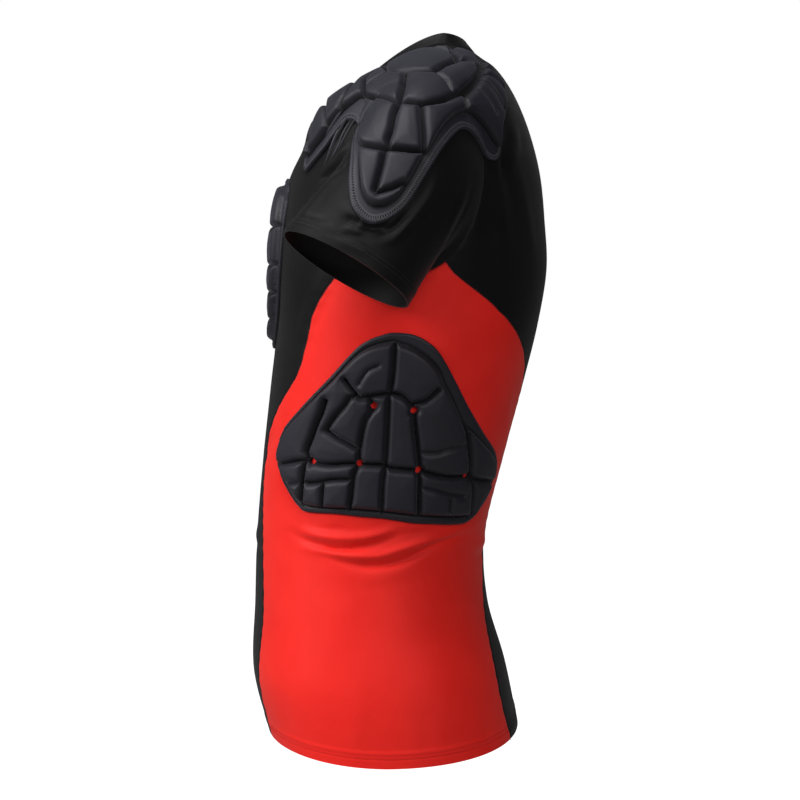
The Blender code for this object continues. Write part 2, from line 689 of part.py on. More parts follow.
def thinned(places, pairs, least):
    """The places without those that crowd an earlier one, and the pairs that are left."""
    kept, name = [], {}
    for k, place in enumerate(places):
        near = next((j for j, other in enumerate(kept) if math.dist(place, other) < least), None)
        if near is None:
            near = len(kept)
            kept.append(place)
        name[k] = near
    return kept, sorted({(name[a], name[b]) for a, b in pairs if name[a] != name[b]})


def quilted_pad(pattern, place_of, lift):
    """Points and faces of a pad: a quilted top, a plain underside, and walls at its edge and vents."""
    top, top_faces, border = pattern.sheet(*pattern.top_places())
    under, under_faces, _ = pattern.sheet(pattern.under_places())
    points = []
    for place in top:
        point, out = place_of(*place)
        points.append(point + out * (lift + pattern.thickness(place)))
    for place in under:
        point, out = place_of(*place)
        points.append(point + out * lift)
    first = len(top)
    faces = [tuple(face) for face in top_faces]
    faces += [tuple(first + k for k in face[::-1]) for face in under_faces]
    start = 0
    for loop in [pattern.outline] + pattern.vents:
        count = len(loop)
        for k in range(count):
            a, b = start + k, start + (k + 1) % count
            faces.append((a, b, first + b, first + a))
        start += count
    return points, faces


def pad_pair(name, pattern, place_of, lift, finish):
    """A pad on the left and its mirror image on the right."""
    points, faces = quilted_pad(pattern, place_of, lift)
    new_object(name + "_left", points, faces, finish)
    new_object(name + "_right", [Vector((-p.x, p.y, p.z)) for p in points], faces, finish)


def chest_pattern():
    """The chest pad's pattern: a spine, rows that dip to the middle, and splits in its upper cells."""
    half = CHEST_HALF_OUTLINE
    outline = half + [(-x, y) for x, y in half[:0:-1]]
    grooves = [Groove(1.0, CHEST_SPINE)]
    edge, middle = CHEST_HALF_WIDTH, CHEST_HALF_WIDTH / 2
    for height, dip in CHEST_ROWS:
        low = height - dip
        row = [(-edge, height), (-middle, low), (0, height), (middle, low), (edge, height)]
        grooves.append(Groove(1.0, row))
    for side in (-CHEST_SIDE_SPLIT, CHEST_SIDE_SPLIT):
        grooves.append(Groove(0.8, [(side, CHEST_SPINE[0][1]), (side, CHEST_SIDE_FOOT)]))
    return Pattern(outline, grooves)


def neck_collar(finish):
    """The neckband: a double band of cloth that goes on above the neck seam."""
    columns = 2 * FRONT_COLUMNS
    first = NECK_ROW + SEAM_GAP / (body_point(COLLAR_ROW, 0) - body_point(NECK_ROW, 0)).length
    rows = [first + (COLLAR_ROW - first) * step / NECK_STEPS for step in range(NECK_STEPS + 1)]
    places = [[(row, 360 * column / columns) for column in range(columns)] for row in rows]
    outer = [[body_point(*place) + body_normal(*place) * COLLAR_PROUD for place in line] for line in places]
    inner = [[body_point(*place) - body_normal(*place) * (COLLAR_WALL - COLLAR_PROUD) for place in line]
             for line in places]
    wall_solid("collar", outer, inner, finish, closed=True)


def cloth_wall(name, places, finish, mirror=False):
    """A panel of the body from its grid of places, and its mirror image if there is one."""
    outer = [[cloth_point(*place) for place in line] for line in places]
    inner = [[cloth_point(*place, CLOTH) for place in line] for line in places]
    if not mirror:
        wall_solid(name, outer, inner, finish)
        return
    wall_solid(name + "_left", outer, inner, finish)
    wall_solid(name + "_right", mirrored(outer), mirrored(inner), finish)


def sleeves(finish):
    """Both sleeves, tubes of cloth from the armholes to their hems."""
    skin = sleeve_grid()
    normals = ring_normals(skin)
    turns = sleeve_turns()
    outer, inner = [], []
    for row, (line, ways) in enumerate(zip(skin, normals)):
        down = SLEEVE_LENGTH * row / SLEEVE_ROWS
        lifts = [fold_height((math.degrees(turn), down), SLEEVE_FOLDS) for turn in turns]
        outer.append([p + n * lift for p, n, lift in zip(line, ways, lifts)])
        inner.append([p + n * (lift - CLOTH) for p, n, lift in zip(line, ways, lifts)])
    wall_solid("sleeve_left", outer, inner, finish, closed=True)
    wall_solid("sleeve_right", mirrored(outer), mirrored(inner), finish, closed=True)


def main():
    for item in list(bpy.data.objects):
        bpy.data.objects.remove(item)
    black = material("black_knit", (0.012, 0.012, 0.013), 0.6)
    red = material("red_knit", (0.62, 0.02, 0.015), 0.55)
    slate = material("pad_slate", (0.045, 0.043, 0.052), 0.6)
    cloth_wall("front", main_panel("front"), black)
    cloth_wall("back", main_panel("back"), black)
    cloth_wall("side_panel", side_panel(), red, mirror=True)
    sleeves(black)
    neck_collar(black)
    skin = left_skin()
    pad_pair("shoulder_pad", Pattern(SHOULDER_OUTLINE, SHOULDER_GROOVES),
             lambda forward, down: shoulder_place(skin, forward, down), SHOULDER_LIFT, slate)
    pad_pair("rib_pad", Pattern(RIB_OUTLINE, RIB_GROOVES, RIB_VENTS), rib_place, PAD_LIFT, slate)
    new_object("chest_pad", *quilted_pad(chest_pattern(), chest_place, PAD_LIFT), slate)


main()
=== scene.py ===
import math

import bmesh
import bpy
import numpy as np
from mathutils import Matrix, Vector
from mathutils.bvhtree import BVHTree
from mathutils.geometry import delaunay_2d_cdt


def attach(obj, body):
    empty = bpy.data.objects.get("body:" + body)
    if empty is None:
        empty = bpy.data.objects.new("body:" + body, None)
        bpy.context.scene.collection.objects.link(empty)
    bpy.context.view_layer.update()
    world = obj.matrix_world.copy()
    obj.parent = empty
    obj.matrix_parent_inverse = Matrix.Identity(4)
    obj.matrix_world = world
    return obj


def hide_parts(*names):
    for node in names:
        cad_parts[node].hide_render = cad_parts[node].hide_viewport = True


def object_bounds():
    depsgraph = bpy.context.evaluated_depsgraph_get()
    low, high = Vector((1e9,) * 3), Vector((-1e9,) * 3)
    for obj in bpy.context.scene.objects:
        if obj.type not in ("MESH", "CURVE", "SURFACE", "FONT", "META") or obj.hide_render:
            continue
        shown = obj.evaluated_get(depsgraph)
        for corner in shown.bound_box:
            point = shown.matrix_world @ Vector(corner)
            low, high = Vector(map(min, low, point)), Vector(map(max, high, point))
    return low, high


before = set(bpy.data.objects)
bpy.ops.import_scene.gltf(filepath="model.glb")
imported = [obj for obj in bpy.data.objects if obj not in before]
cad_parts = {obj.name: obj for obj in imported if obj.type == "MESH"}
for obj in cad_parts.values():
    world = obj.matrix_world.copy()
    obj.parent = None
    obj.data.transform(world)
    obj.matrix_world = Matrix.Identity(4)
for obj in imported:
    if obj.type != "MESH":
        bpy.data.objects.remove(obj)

# Padded compression shirt, dressed for its studio picture. Lengths are in millimetres until a mesh
# is made. +Z is up, the wearer faces -Y, +X is the wearer's left, and the origin is between the shoulders.
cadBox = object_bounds()
toMetres = 0.001
print("frame loaded:", len(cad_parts), "nodes")

# The body skin, one section a row from the hem up to the collar's top: front y and z, back y and z,
# side x, y and z, and how square the front half and the back half are
bodySkin = {
    "sections": np.array([
        (-127, -622, 105, -625, 166, -16, -631, 2.5, 2.4),
        (-141, -570, 94, -570, 165, -22, -570, 2.4, 2.3),
        (-140, -510, 77, -510, 154, -31, -510, 2.2, 2.2),
        (-138, -450, 74, -450, 145, -32, -450, 2.2, 2.3),
        (-132, -380, 90, -380, 147, -21, -380, 2.3, 2.4),
        (-124, -310, 108, -310, 154, -8, -310, 2.4, 2.4),
        (-118, -255, 122, -255, 160, 0, -255, 2.4, 2.4),
        (-118, -205, 130, -205, 164, 6, -205, 2.4, 2.3),
        (-115, -160, 128, -160, 171, 8, -155, 2.3, 2.2),
        (-106, -122, 124, -118, 179, 10, -110, 2.2, 2.1),
        (-94, -96, 115, -82, 184, 12, -74, 2.1, 2.0),
        (-89, -78, 104, -54, 178, 14, -51, 2.1, 2.0),
        (-84, -69, 93, -34, 150, 18, -36, 2.1, 2.0),
        (-74, -67, 82, -20, 120, 23, -24, 2.0, 2.0),
        (-67, -65, 72, -13, 93, 28, -14, 2.0, 2.0),
        (-62, -62, 63, -6, 73, 32, -4, 2.0, 2.0),
        (-56, -51, 55, 3, 65, 34, 6, 2.0, 2.0),
    ], float),
    "slope": 1.5,
    "neckRow": 15.0,
    "collarRow": 16.0,
    "underarmRow": 7.0,
    "shoulderRow": 11.0,
    "armholeReach": 29.0,
    # Section row, and degrees from the side to the side panel's front seam and back seam
    "sideSeams": np.array([
        (0.0, 63, 62), (1.0, 62, 61), (2.0, 60, 70), (3.0, 63, 80), (4.0, 70, 82), (4.6, 62, 81),
        (5.2, 47, 71), (5.8, 43, 54), (6.3, 40, 38), (7.0, 29, 16), (8.0, 16, 0),
    ], float),
    "chartRadius": 128.0,
}


def smoothTable(table, places):
    # A smooth curve through the rows of a table, read at any row numbers
    last = len(table) - 1
    low = np.clip(np.floor(places).astype(int), 0, last - 1)
    share = np.asarray(places - low)
    if table.ndim > 1:
        share = share[..., None]
    before, start, end, after = (table[np.clip(low + k, 0, last)] for k in (-1, 0, 1, 2))
    slopeIn, slopeOut, bend = (end - before) / 2, (after - start) / 2, start - end
    return (((2 * bend + slopeIn + slopeOut) * share - 3 * bend - 2 * slopeIn - slopeOut) * share
            + slopeIn) * share + start


def smoothCurve(points, step, closed=False):
    # Places about this far apart along a smooth curve through the points
    points = np.array(points, float)
    if closed:
        points = np.concatenate([points[-1:], points, points[:2]])
    else:
        points = np.concatenate([points[:1], points, points[-1:]])
    places = []
    for k in range(1, len(points) - 2):
        steps = max(1, round(float(np.linalg.norm(points[k + 1] - points[k])) / step))
        places.append(smoothTable(points[k - 1:k + 3], 1 + np.arange(steps) / steps))
    if not closed:
        places.append(points[-2:-1])
    return np.concatenate(places)


def closedLine(loop):
    return np.concatenate([loop, loop[:1]])


def lengthsAlong(line):
    # The length along a line up to each of its points
    return np.concatenate([[0], np.cumsum(np.linalg.norm(np.diff(line, axis=0), axis=1))])


def readLine(at, along, line):
    # The points of a line at these lengths along it
    return np.stack([np.interp(at, along, column) for column in line.T], -1)


def lineDistance(places, line):
    # How far each place is from a line of straight stretches, and the share of the line nearest to it
    best = np.full(places.shape[:-1], np.inf)
    share = np.zeros(places.shape[:-1])
    lengths = np.linalg.norm(np.diff(line, axis=0), axis=1)
    starts = np.concatenate([[0], np.cumsum(lengths)])
    for k, length in enumerate(lengths):
        way = line[k + 1] - line[k]
        along = np.clip(((places - line[k]) @ way) / max(length * length, 1e-12), 0, 1)
        gap = places - line[k] - along[..., None] * way
        distance = np.hypot(gap[..., 0], gap[..., 1])
        nearer = distance < best
        best = np.where(nearer, distance, best)
        share = np.where(nearer, (starts[k] + along * length) / starts[-1], share)
    return best, share


def unit(ways):
    return ways / np.maximum(np.linalg.norm(ways, axis=-1, keepdims=True), 1e-9)


def smoothStep(share):
    share = np.clip(share, 0, 1)
    return share * share * (3 - 2 * share)


def bodyPoints(rows, angles):
    # Points of the body skin. Angles are in degrees: 0 at the left side, 90 at the back
    rows, angles = np.broadcast_arrays(np.asarray(rows, float), np.asarray(angles, float))
    section = smoothTable(bodySkin["sections"], rows)
    frontY, frontZ, backY, backZ, sideX, sideY, sideZ, frontRound, backRound = np.moveaxis(section, -1, 0)
    cosine, sine = np.cos(np.radians(angles)), np.sin(np.radians(angles))
    back = sine > 0
    power = np.where(back, backRound, frontRound)
    reach = (np.abs(cosine) ** power + np.abs(sine) ** power) ** (-1 / power)
    across, away = reach * cosine, reach * np.abs(sine)
    endY, endZ = np.where(back, backY, frontY), np.where(back, backZ, frontZ)
    return np.stack([
        sideX * across,
        sideY + (endY - sideY) * away,
        sideZ + (endZ - sideZ) * away ** bodySkin["slope"],
    ], -1)


def bodyNormals(rows, angles, rowStep=0.05, turnStep=1):
    # Ways out of the body skin, from points a little up and down and a little round each way
    rows, angles = np.broadcast_arrays(np.asarray(rows, float), np.asarray(angles, float))
    up = (bodyPoints(np.minimum(rows + rowStep, bodySkin["collarRow"]), angles)
          - bodyPoints(np.maximum(rows - rowStep, 0), angles))
    around = bodyPoints(rows, angles + turnStep) - bodyPoints(rows, angles - turnStep)
    return unit(np.cross(around, up))


# How every fold is drawn: the step along its line, how many half widths it reaches, what is left of it
# at its ends, and how far the body folds are moved on the wearer's right
foldForm = {"step": 8.0, "reach": 3, "endShare": 0.1, "rightShift": np.array([6.0, -5.0])}

# Folds of the body cloth: how far each stands out or dips, its half width, how long its ends taper,
# and its line in mm round from the side towards the back and in height
bodyFolds = {
    "waist": [
        (1.3, 6.0, 0.4, [(120, -446), (160, -452), (198, -452)]),
        (-1.0, 5.0, 0.4, [(128, -457), (165, -464), (201, -462)]),
        (1.0, 6.0, 0.4, [(-150, -444), (-178, -448), (-201, -447)]),
        (-0.8, 5.0, 0.4, [(-140, -456), (-172, -460), (-201, -458)]),
    ],
    "back": [
        (1.2, 7.0, 0.45, [(62, -70), (78, -120), (84, -175), (82, -230)]),
        (-1.0, 6.0, 0.45, [(76, -66), (92, -118), (99, -170)]),
        (1.0, 8.0, 0.45, [(104, -90), (118, -150), (126, -215)]),
        (-0.8, 7.0, 0.45, [(128, -300), (150, -330), (172, -352)]),
        (0.9, 8.0, 0.45, [(120, -318), (146, -350), (176, -372)]),
    ],
    "front": [
        (1.1, 6.0, 0.45, [(-70, -190), (-92, -226), (-110, -270)]),
        (-0.9, 5.0, 0.45, [(-62, -204), (-82, -242), (-98, -290)]),
        (0.9, 7.0, 0.45, [(-128, -330), (-150, -352), (-176, -366)]),
        (-0.8, 6.0, 0.45, [(-126, -346), (-152, -370), (-180, -384)]),
    ],
    "hem": [
        (0.9, 9.0, 0.5, [(-20, -560), (-26, -600), (-30, -631)]),
        (-0.7, 8.0, 0.5, [(34, -575), (40, -605), (44, -631)]),
        (0.8, 9.0, 0.5, [(86, -570), (92, -600), (96, -628)]),
        (-0.7, 9.0, 0.5, [(-92, -566), (-98, -600), (-104, -626)]),
    ],
}

# Folds seen from the side, on whatever cloth faces that way, drawn in mm back and up on the middle plane
sideView = {"eye": (1800.0, -4.65, -186.0), "facing": 0.4, "rightShift": (3, -4)}
sideFolds = {
    "underRibPad": [
        (3.2, 4.0, 0.3, [(-102, -444), (-87, -451), (-66, -455), (-44, -455), (-23, -451), (-3, -443)]),
        (-3.1, 2.9, 0.3, [(-107, -450), (-94, -457), (-80, -462), (-64, -466), (-47, -465), (-33, -462),
                          (-14, -455), (3, -449)]),
        (3.4, 4.0, 0.35, [(-98, -465), (-70, -469), (-52, -472), (-25, -472), (-5, -466), (19, -458),
                          (42, -451), (66, -445)]),
        (-3.3, 3.2, 0.35, [(-78, -472), (-54, -479), (-40, -482), (-19, -481), (0, -476), (19, -467),
                           (38, -458), (63, -450)]),
        (0.8, 7.0, 0.45, [(-75, -486), (-38, -493), (-5, -488), (33, -474)]),
        (-0.8, 2.5, 0.35, [(-82, -445), (-68, -447), (-52, -445)]),
        (-1.2, 3.0, 0.35, [(-3, -451), (23, -448), (52, -445)]),
    ],
    "sleeve": [
        (-2.5, 2.6, 0.3, [(-52, -100), (-62, -110), (-75, -120), (-81, -126)]),
        (1.8, 4.0, 0.35, [(-50, -109), (-60, -116), (-73, -126), (-84, -140), (-94, -153), (-105, -165)]),
        (-1.0, 3.0, 0.4, [(-97, -153), (-82, -156), (-68, -158), (-55, -159)]),
        (-2.7, 2.4, 0.3, [(-56, -156), (-47, -159), (-38, -161)]),
        (-3.4, 3.2, 0.3, [(-44, -163), (-29, -166), (-12, -163)]),
        (-2.4, 3.2, 0.35, [(-32, -173), (-19, -170), (-8, -164), (6, -149)]),
        (2.4, 4.5, 0.35, [(-29, -180), (-12, -176), (-1, -165), (14, -148), (26, -129), (33, -105)]),
        (1.7, 3.0, 0.35, [(-62, -166), (-45, -169), (-34, -169)]),
        (1.3, 5.0, 0.4, [(-70, -177), (-49, -182), (-27, -192)]),
    ],
    "pleats": [
        (2.0, 2.0, 0.35, [(-50, -45), (-57, -54), (-65, -65), (-70, -74)]),
        (-1.8, 1.9, 0.35, [(-46, -46), (-54, -55), (-61, -67), (-68, -81)]),
        (2.5, 1.9, 0.35, [(-47, -52), (-55, -67), (-66, -88), (-73, -101)]),
        (-2.0, 1.9, 0.35, [(-43, -55), (-52, -66), (-59, -80), (-67, -95)]),
        (2.0, 2.0, 0.35, [(-42, -61), (-50, -70), (-56, -80), (-63, -90)]),
        (1.6, 2.6, 0.35, [(-49, -85), (-60, -96), (-71, -109), (-79, -119)]),
    ],
    "shoulderBack": [
        (-1.5, 3.0, 0.35, [(95, -66), (94, -85), (91, -105), (89, -127)]),
        (1.2, 4.0, 0.35, [(101, -68), (102, -89), (98, -114)]),
        (-1.0, 2.8, 0.35, [(106, -66), (108, -83), (108, -98)]),
        (0.9, 6.0, 0.4, [(112, -65), (118, -89), (122, -120)]),
        (0.7, 9.0, 0.45, [(60, -117), (56, -144), (60, -177)]),
        (-0.7, 8.0, 0.45, [(77, -121), (75, -154), (83, -191)]),
    ],
    "neck": [
        (0.9, 2.2, 0.35, [(17, 5), (27, 9), (38, 12)]),
        (-0.8, 2.0, 0.35, [(21, 2), (32, 7), (43, 10)]),
        (0.8, 2.2, 0.35, [(46, 12), (54, 7), (62, 0)]),
    ],
}


def foldHeight(places, folds):
    # How far the folds lift the cloth at each place of their chart
    height = np.zeros(places.shape[:-1])
    low = foldForm["endShare"]
    for rise, width, taper, points in folds:
        line = smoothCurve(points, foldForm["step"])
        reach = foldForm["reach"] * width
        near = np.all((places > line.min(0) - reach) & (places < line.max(0) + reach), -1)
        distance, share = lineDistance(places[near], line)
        ends = smoothStep(np.minimum(share, 1 - share) / taper)
        height[near] += rise * (low + (1 - low) * ends) * np.exp(-(distance / width) ** 2)
    return height


def sideLift(points, ways):
    # How far the side folds lift cloth that faces the side, a little moved on the wearer's right
    eyeX, eyeY, eyeZ = sideView["eye"]
    shiftY, shiftZ = sideView["rightShift"]
    grow = eyeX / (eyeX - np.abs(points[..., 0]))
    right = np.where(points[..., 0] < 0, 1.0, 0.0)
    places = np.stack([eyeY + (points[..., 1] - eyeY) * grow + shiftY * right,
                       eyeZ + (points[..., 2] - eyeZ) * grow + shiftZ * right], -1)
    facing = smoothStep(ways[..., 0] * np.sign(points[..., 0]) / sideView["facing"])
    return facing * foldHeight(places, sum(sideFolds.values(), []))


def chartPlaces(rows, angles):
    # Mm round from the nearer side, towards the back, and the height of the section's side
    side = np.where(np.abs(angles) <= 90, angles, np.copysign(180, angles) - angles)
    height = smoothTable(bodySkin["sections"][:, 6], rows)
    return np.stack([np.radians(side) * bodySkin["chartRadius"], height], -1)


# Slow unevenness of the cloth, so that no stretch is quite smooth: its rise, and the lengths of its waves
unevenness = {"body": 0.35, "sleeve": 0.3, "pleats": 0.33, "slow": (41, 63, 37, 52), "quick": (23, 29, 31),
              "quickShare": 0.5}


def softWaves(points, cloth):
    x, y, z = np.moveaxis(points, -1, 0)
    first, second, third, fourth = unevenness["slow"]
    slow = np.sin(x / first + z / second) * np.sin(z / third - y / fourth)
    first, second, third = unevenness["quick"]
    quick = unevenness["quickShare"] * np.sin(y / first + z / second + x / third)
    return unevenness[cloth] * (slow + quick)


def clothLift(rows, angles):
    # Everything that lifts the body cloth off its smooth skin
    right = np.where(np.abs(angles) > 90, 1.0, 0.0)
    places = chartPlaces(rows, angles) + right[..., None] * foldForm["rightShift"]
    points, ways = bodyPoints(rows, angles), bodyNormals(rows, angles)
    folds = foldHeight(places, sum(bodyFolds.values(), []))
    return folds + sideLift(points, ways) + softWaves(points, "body")


underarm, shoulder = bodySkin["underarmRow"], bodySkin["shoulderRow"]
armholeMiddle, armholeHalf = (underarm + shoulder) / 2, (shoulder - underarm) / 2


def armholeAngles(rows):
    # Degrees from the side to the armhole's edge, at each section row
    height = (rows - armholeMiddle) / armholeHalf
    return bodySkin["armholeReach"] * np.sqrt(np.maximum(0, 1 - height ** 2))


def seamAngles(rows, side):
    # Degrees from the side to the side panel's front seam, side 1, or back seam, side 2
    keys = bodySkin["sideSeams"][:, 0]
    upper = np.clip(np.searchsorted(keys, rows), 1, len(keys) - 1)
    share = (rows - keys[upper - 1]) / (keys[upper] - keys[upper - 1])
    return smoothTable(bodySkin["sideSeams"][:, side], upper - 1 + share)


def halved(low, high, isLow, halvings=40):
    # The place between low and high where isLow stops being true
    low, high = np.array(low, float), np.array(high, float)
    for _ in range(halvings):
        middle = (low + high) / 2
        below = isLow(middle)
        low, high = np.where(below, middle, low), np.where(below, high, middle)
    return low


frontTop = float(halved(underarm, armholeMiddle, lambda row: armholeAngles(row) < seamAngles(row, 1)))
backTop = float(halved(underarm, armholeMiddle, lambda row: armholeAngles(row) < seamAngles(row, 2)))

# The cloth's wall, how finely it is cut into faces, and how it rolls into its seams
clothGrid = {
    "wall": 1.2,
    # Stretches of the way up a side seam, and how many rows each has
    "climbs": [(0.0, 0.045, 16), (0.045, 0.3, 44), (0.3, 0.52, 60), (0.52, 1.0, 70)],
    "columns": {"front": 60, "back": 84, "side": 66},
    "armholeSteps": 84,
    "shoulderSteps": 54,
    "edgeShares": {"front": 30, "back": 8, "side": 6},
    "edgeStep": 0.0045,
    "edgeGrowth": 0.1,
    "edgeRoll": 0.45,
    "edgeWidth": 1.7,
}


def stretchShares(stretches):
    # Shares from 0 to 1, with this many even steps in each stretch
    steps = [np.linspace(low, high, count, endpoint=False) for low, high, count in stretches]
    return np.concatenate(steps + [[1.0]])


climbShares = stretchShares(clothGrid["climbs"])


def columnShares(name):
    # Even shares of the way across a panel, with closer ones along its seams
    count = clothGrid["edgeShares"][name]
    steps = np.arange(count + 1)
    edge = clothGrid["edgeStep"] * steps * (1 + clothGrid["edgeGrowth"] * steps / count)
    middle = np.linspace(edge[-1], 1 - edge[-1], clothGrid["columns"][name] + 1)[1:-1]
    return np.concatenate([edge, middle, 1 - edge[::-1]])


def armholeArc(row):
    # Rows and angles up the armhole's edge, from a section row to the shoulder tip
    first = math.asin((row - armholeMiddle) / armholeHalf)
    turns = np.linspace(first, math.pi / 2, clothGrid["armholeSteps"] + 1)
    return armholeMiddle + armholeHalf * np.sin(turns), bodySkin["armholeReach"] * np.cos(turns)


def mainPanel(front):
    # Rows and angles of the front or the back, from hem to neck and from the left seam to the right
    top, side, turn = (frontTop, 1, -1) if front else (backTop, 2, 1)
    arcRows, arcAngles = armholeArc(top)
    shoulderRows = np.linspace(shoulder, bodySkin["neckRow"], clothGrid["shoulderSteps"] + 1)[1:]
    rows = np.concatenate([top * climbShares, arcRows[1:], shoulderRows])
    edges = np.concatenate([seamAngles(top * climbShares, side), arcAngles[1:], 0 * shoulderRows])
    shares = columnShares("front" if front else "back")
    angles = turn * (edges[:, None] + (180 - 2 * edges[:, None]) * shares)
    return np.broadcast_to(rows[:, None], angles.shape), angles


def sideAngles(rows, shares):
    return -seamAngles(rows, 1) * (1 - shares) + seamAngles(rows, 2) * shares


sideShares = columnShares("side")
sideTops = halved(np.full(len(sideShares), underarm), np.full(len(sideShares), max(frontTop, backTop)),
                  lambda rows: np.abs(sideAngles(rows, sideShares)) > armholeAngles(rows))
sideTops[0], sideTops[-1] = frontTop, backTop


def sidePanel():
    # Rows and angles of the left side panel, from hem to armhole and from the front seam to the back
    rows = sideTops * climbShares[:, None]
    return rows, sideAngles(rows, np.broadcast_to(sideShares, rows.shape))


# The left sleeve: its hem ring, the way it points, and how its lines leave the armhole and arrive
sleeveCut = {
    "hemMiddle": np.array([212.0, -49, -202]),
    "way": unit(np.array([0.25, -0.49, -0.835])),
    "depthWay": unit(np.array([0, 0.862, -0.506])),
    "halfDepth": 59.0,
    "halfWidth": 49.0,
    "outPull": np.array([0.75, 0, 0]),
    "downPull": 0.45,
    "leave": 0.32,
    "arrive": 0.42,
    "length": 130.0,
    "chartRadius": 55,
    "stretches": [(0.0, 0.04, 4), (0.04, 0.86, 76), (0.86, 1.0, 16)],
    # Rise, half width, taper and line, in degrees round from the sleeve's top and in mm down it
    "folds": [
        (1.2, 5.0, 0.4, [(40, 104), (14, 110), (-16, 104)]),
        (-1.0, 4.5, 0.4, [(30, 96), (8, 101), (-14, 94)]),
        (1.2, 6.0, 0.45, [(-60, 30), (-72, 62), (-78, 100)]),
        (-1.0, 5.0, 0.45, [(-74, 26), (-88, 60), (-94, 96)]),
        (1.3, 6.0, 0.45, [(150, 24), (166, 50), (176, 84)]),
        (-1.0, 5.0, 0.45, [(-150, 20), (-164, 46), (-170, 80)]),
    ],
}
sleeveShares = stretchShares(sleeveCut["stretches"])


def armholeLoop():
    # Rows and angles round the left armhole: shoulder tip, down the front, underarm, up the back
    frontRows, frontAngles = armholeArc(frontTop)
    backRows, backAngles = armholeArc(backTop)
    underRows = sideTops[1:-1]
    rows = np.concatenate([frontRows[::-1], underRows, backRows[:-1]])
    angles = np.concatenate([-frontAngles[::-1], sideAngles(underRows, sideShares[1:-1]), backAngles[:-1]])
    return rows, angles


def sleeveSkin():
    # Points of the left sleeve's smooth skin, ring by ring, and each line's turn from the sleeve's top
    way = sleeveCut["way"]
    edge = bodyPoints(*armholeLoop())
    middle = (bodyPoints(underarm, 0) + bodyPoints(shoulder, 0)) / 2
    turns = np.arctan2(middle[1] - edge[:, 1], edge[:, 2] - middle[2])
    across = np.cross(way, sleeveCut["depthWay"])
    along = np.cross(across, way)
    end = (sleeveCut["hemMiddle"] + across * sleeveCut["halfWidth"] * np.cos(turns)[:, None]
           - along * sleeveCut["halfDepth"] * np.sin(turns)[:, None])
    length = np.linalg.norm(end - edge, axis=1, keepdims=True)
    out = unit(sleeveCut["outPull"] + way * sleeveCut["downPull"])
    control = [edge, edge + out * sleeveCut["leave"] * length, end - way * sleeveCut["arrive"] * length, end]
    share = sleeveShares[:, None, None]
    rest = 1 - share
    weights = (rest ** 3, 3 * rest ** 2 * share, 3 * rest * share ** 2, share ** 3)
    return sum(point[None] * weight for point, weight in zip(control, weights)), turns


def gridNormals(grid, closed=False):
    # Ways out of a grid of points. The last column joins the first if it is closed.
    across = np.roll(grid, -1, 1) - np.roll(grid, 1, 1) if closed else np.gradient(grid, axis=1)
    return unit(np.cross(across, np.gradient(grid, axis=0)))


# Materials. Each cloth reads its own chart, in mm, from the mesh attribute clothPlace, and the painted
# shade that darkens the pads' sewn grooves, standing in for the shade that falls in them, from a second
# attribute.
def feedNode(tree, node, inputs):
    # Each input gets its link or its value
    for name, value in inputs:
        if isinstance(value, bpy.types.NodeSocket):
            tree.links.new(value, node.inputs[name])
        else:
            node.inputs[name].default_value = value


def addNode(tree, kind, inputs=(), **values):
    node = tree.nodes.new(kind)
    for name, value in values.items():
        setattr(node, name, value)
    feedNode(tree, node, inputs)
    return node


def mathNode(tree, operation, first, second=0.0):
    return addNode(tree, "ShaderNodeMath", [(0, first), (1, second)], operation=operation).outputs[0]


# The knit's loops, its mottled tone, its fuzz and its relief
knitForm = {"courseBend": 0.4, "ridge": 0.6, "course": 0.2, "mottle": (3.0, 0.55), "fuzz": (1.6, 2.0, 0.6),
            "toneMix": (0.7, 0.3), "toneRange": (0.25, 0.75), "roughSpread": 0.06, "sewnRough": 0.5,
            "fuzzRelief": 0.6, "reliefDepth": 0.0002}


def buildKnitGroup():
    # Loops of a fine stretch knit: wales up the cloth with courses that bend over them
    group = bpy.data.node_groups.new("stretchKnit", "ShaderNodeTree")
    for name, kind in (("Place", "Vector"), ("Loop Size", "Float"), ("Mottle Size", "Float")):
        group.interface.new_socket(name, in_out="INPUT", socket_type="NodeSocket" + kind)
    for name in ("Loops", "Mottle", "Fuzz"):
        group.interface.new_socket(name, in_out="OUTPUT", socket_type="NodeSocketFloat")
    source = addNode(group, "NodeGroupInput")
    place = source.outputs["Place"]
    split = addNode(group, "ShaderNodeSeparateXYZ", [(0, place)])
    wales = mathNode(group, "DIVIDE", split.outputs["X"], source.outputs["Loop Size"])
    courses = mathNode(group, "DIVIDE", split.outputs["Y"], source.outputs["Loop Size"])
    ridge = mathNode(group, "MULTIPLY", mathNode(group, "PINGPONG", wales, 0.5), 2.0)
    bent = mathNode(group, "ADD", courses, mathNode(group, "MULTIPLY", ridge, knitForm["courseBend"]))
    wave = mathNode(group, "SINE", mathNode(group, "MULTIPLY", bent, math.tau))
    wave = mathNode(group, "ADD", mathNode(group, "MULTIPLY", wave, knitForm["course"]), knitForm["course"])
    loops = mathNode(group, "ADD", mathNode(group, "MULTIPLY", ridge, knitForm["ridge"]), wave)
    scale = mathNode(group, "DIVIDE", 1.0, source.outputs["Mottle Size"])
    sink = addNode(group, "NodeGroupOutput")
    group.links.new(loops, sink.inputs["Loops"])
    for name, noise in (("Mottle", (scale, *knitForm["mottle"])), ("Fuzz", knitForm["fuzz"])):
        values = zip(("Vector", "Scale", "Detail", "Roughness"), (place, *noise))
        made = addNode(group, "ShaderNodeTexNoise", list(values))
        group.links.new(made.outputs[0], sink.inputs[name])
    return group


knitGroup = buildKnitGroup()


def emptyMaterial(name):
    made = bpy.data.materials.new(name)
    made.use_nodes = True
    return made, made.node_tree, made.node_tree.nodes["Principled BSDF"]


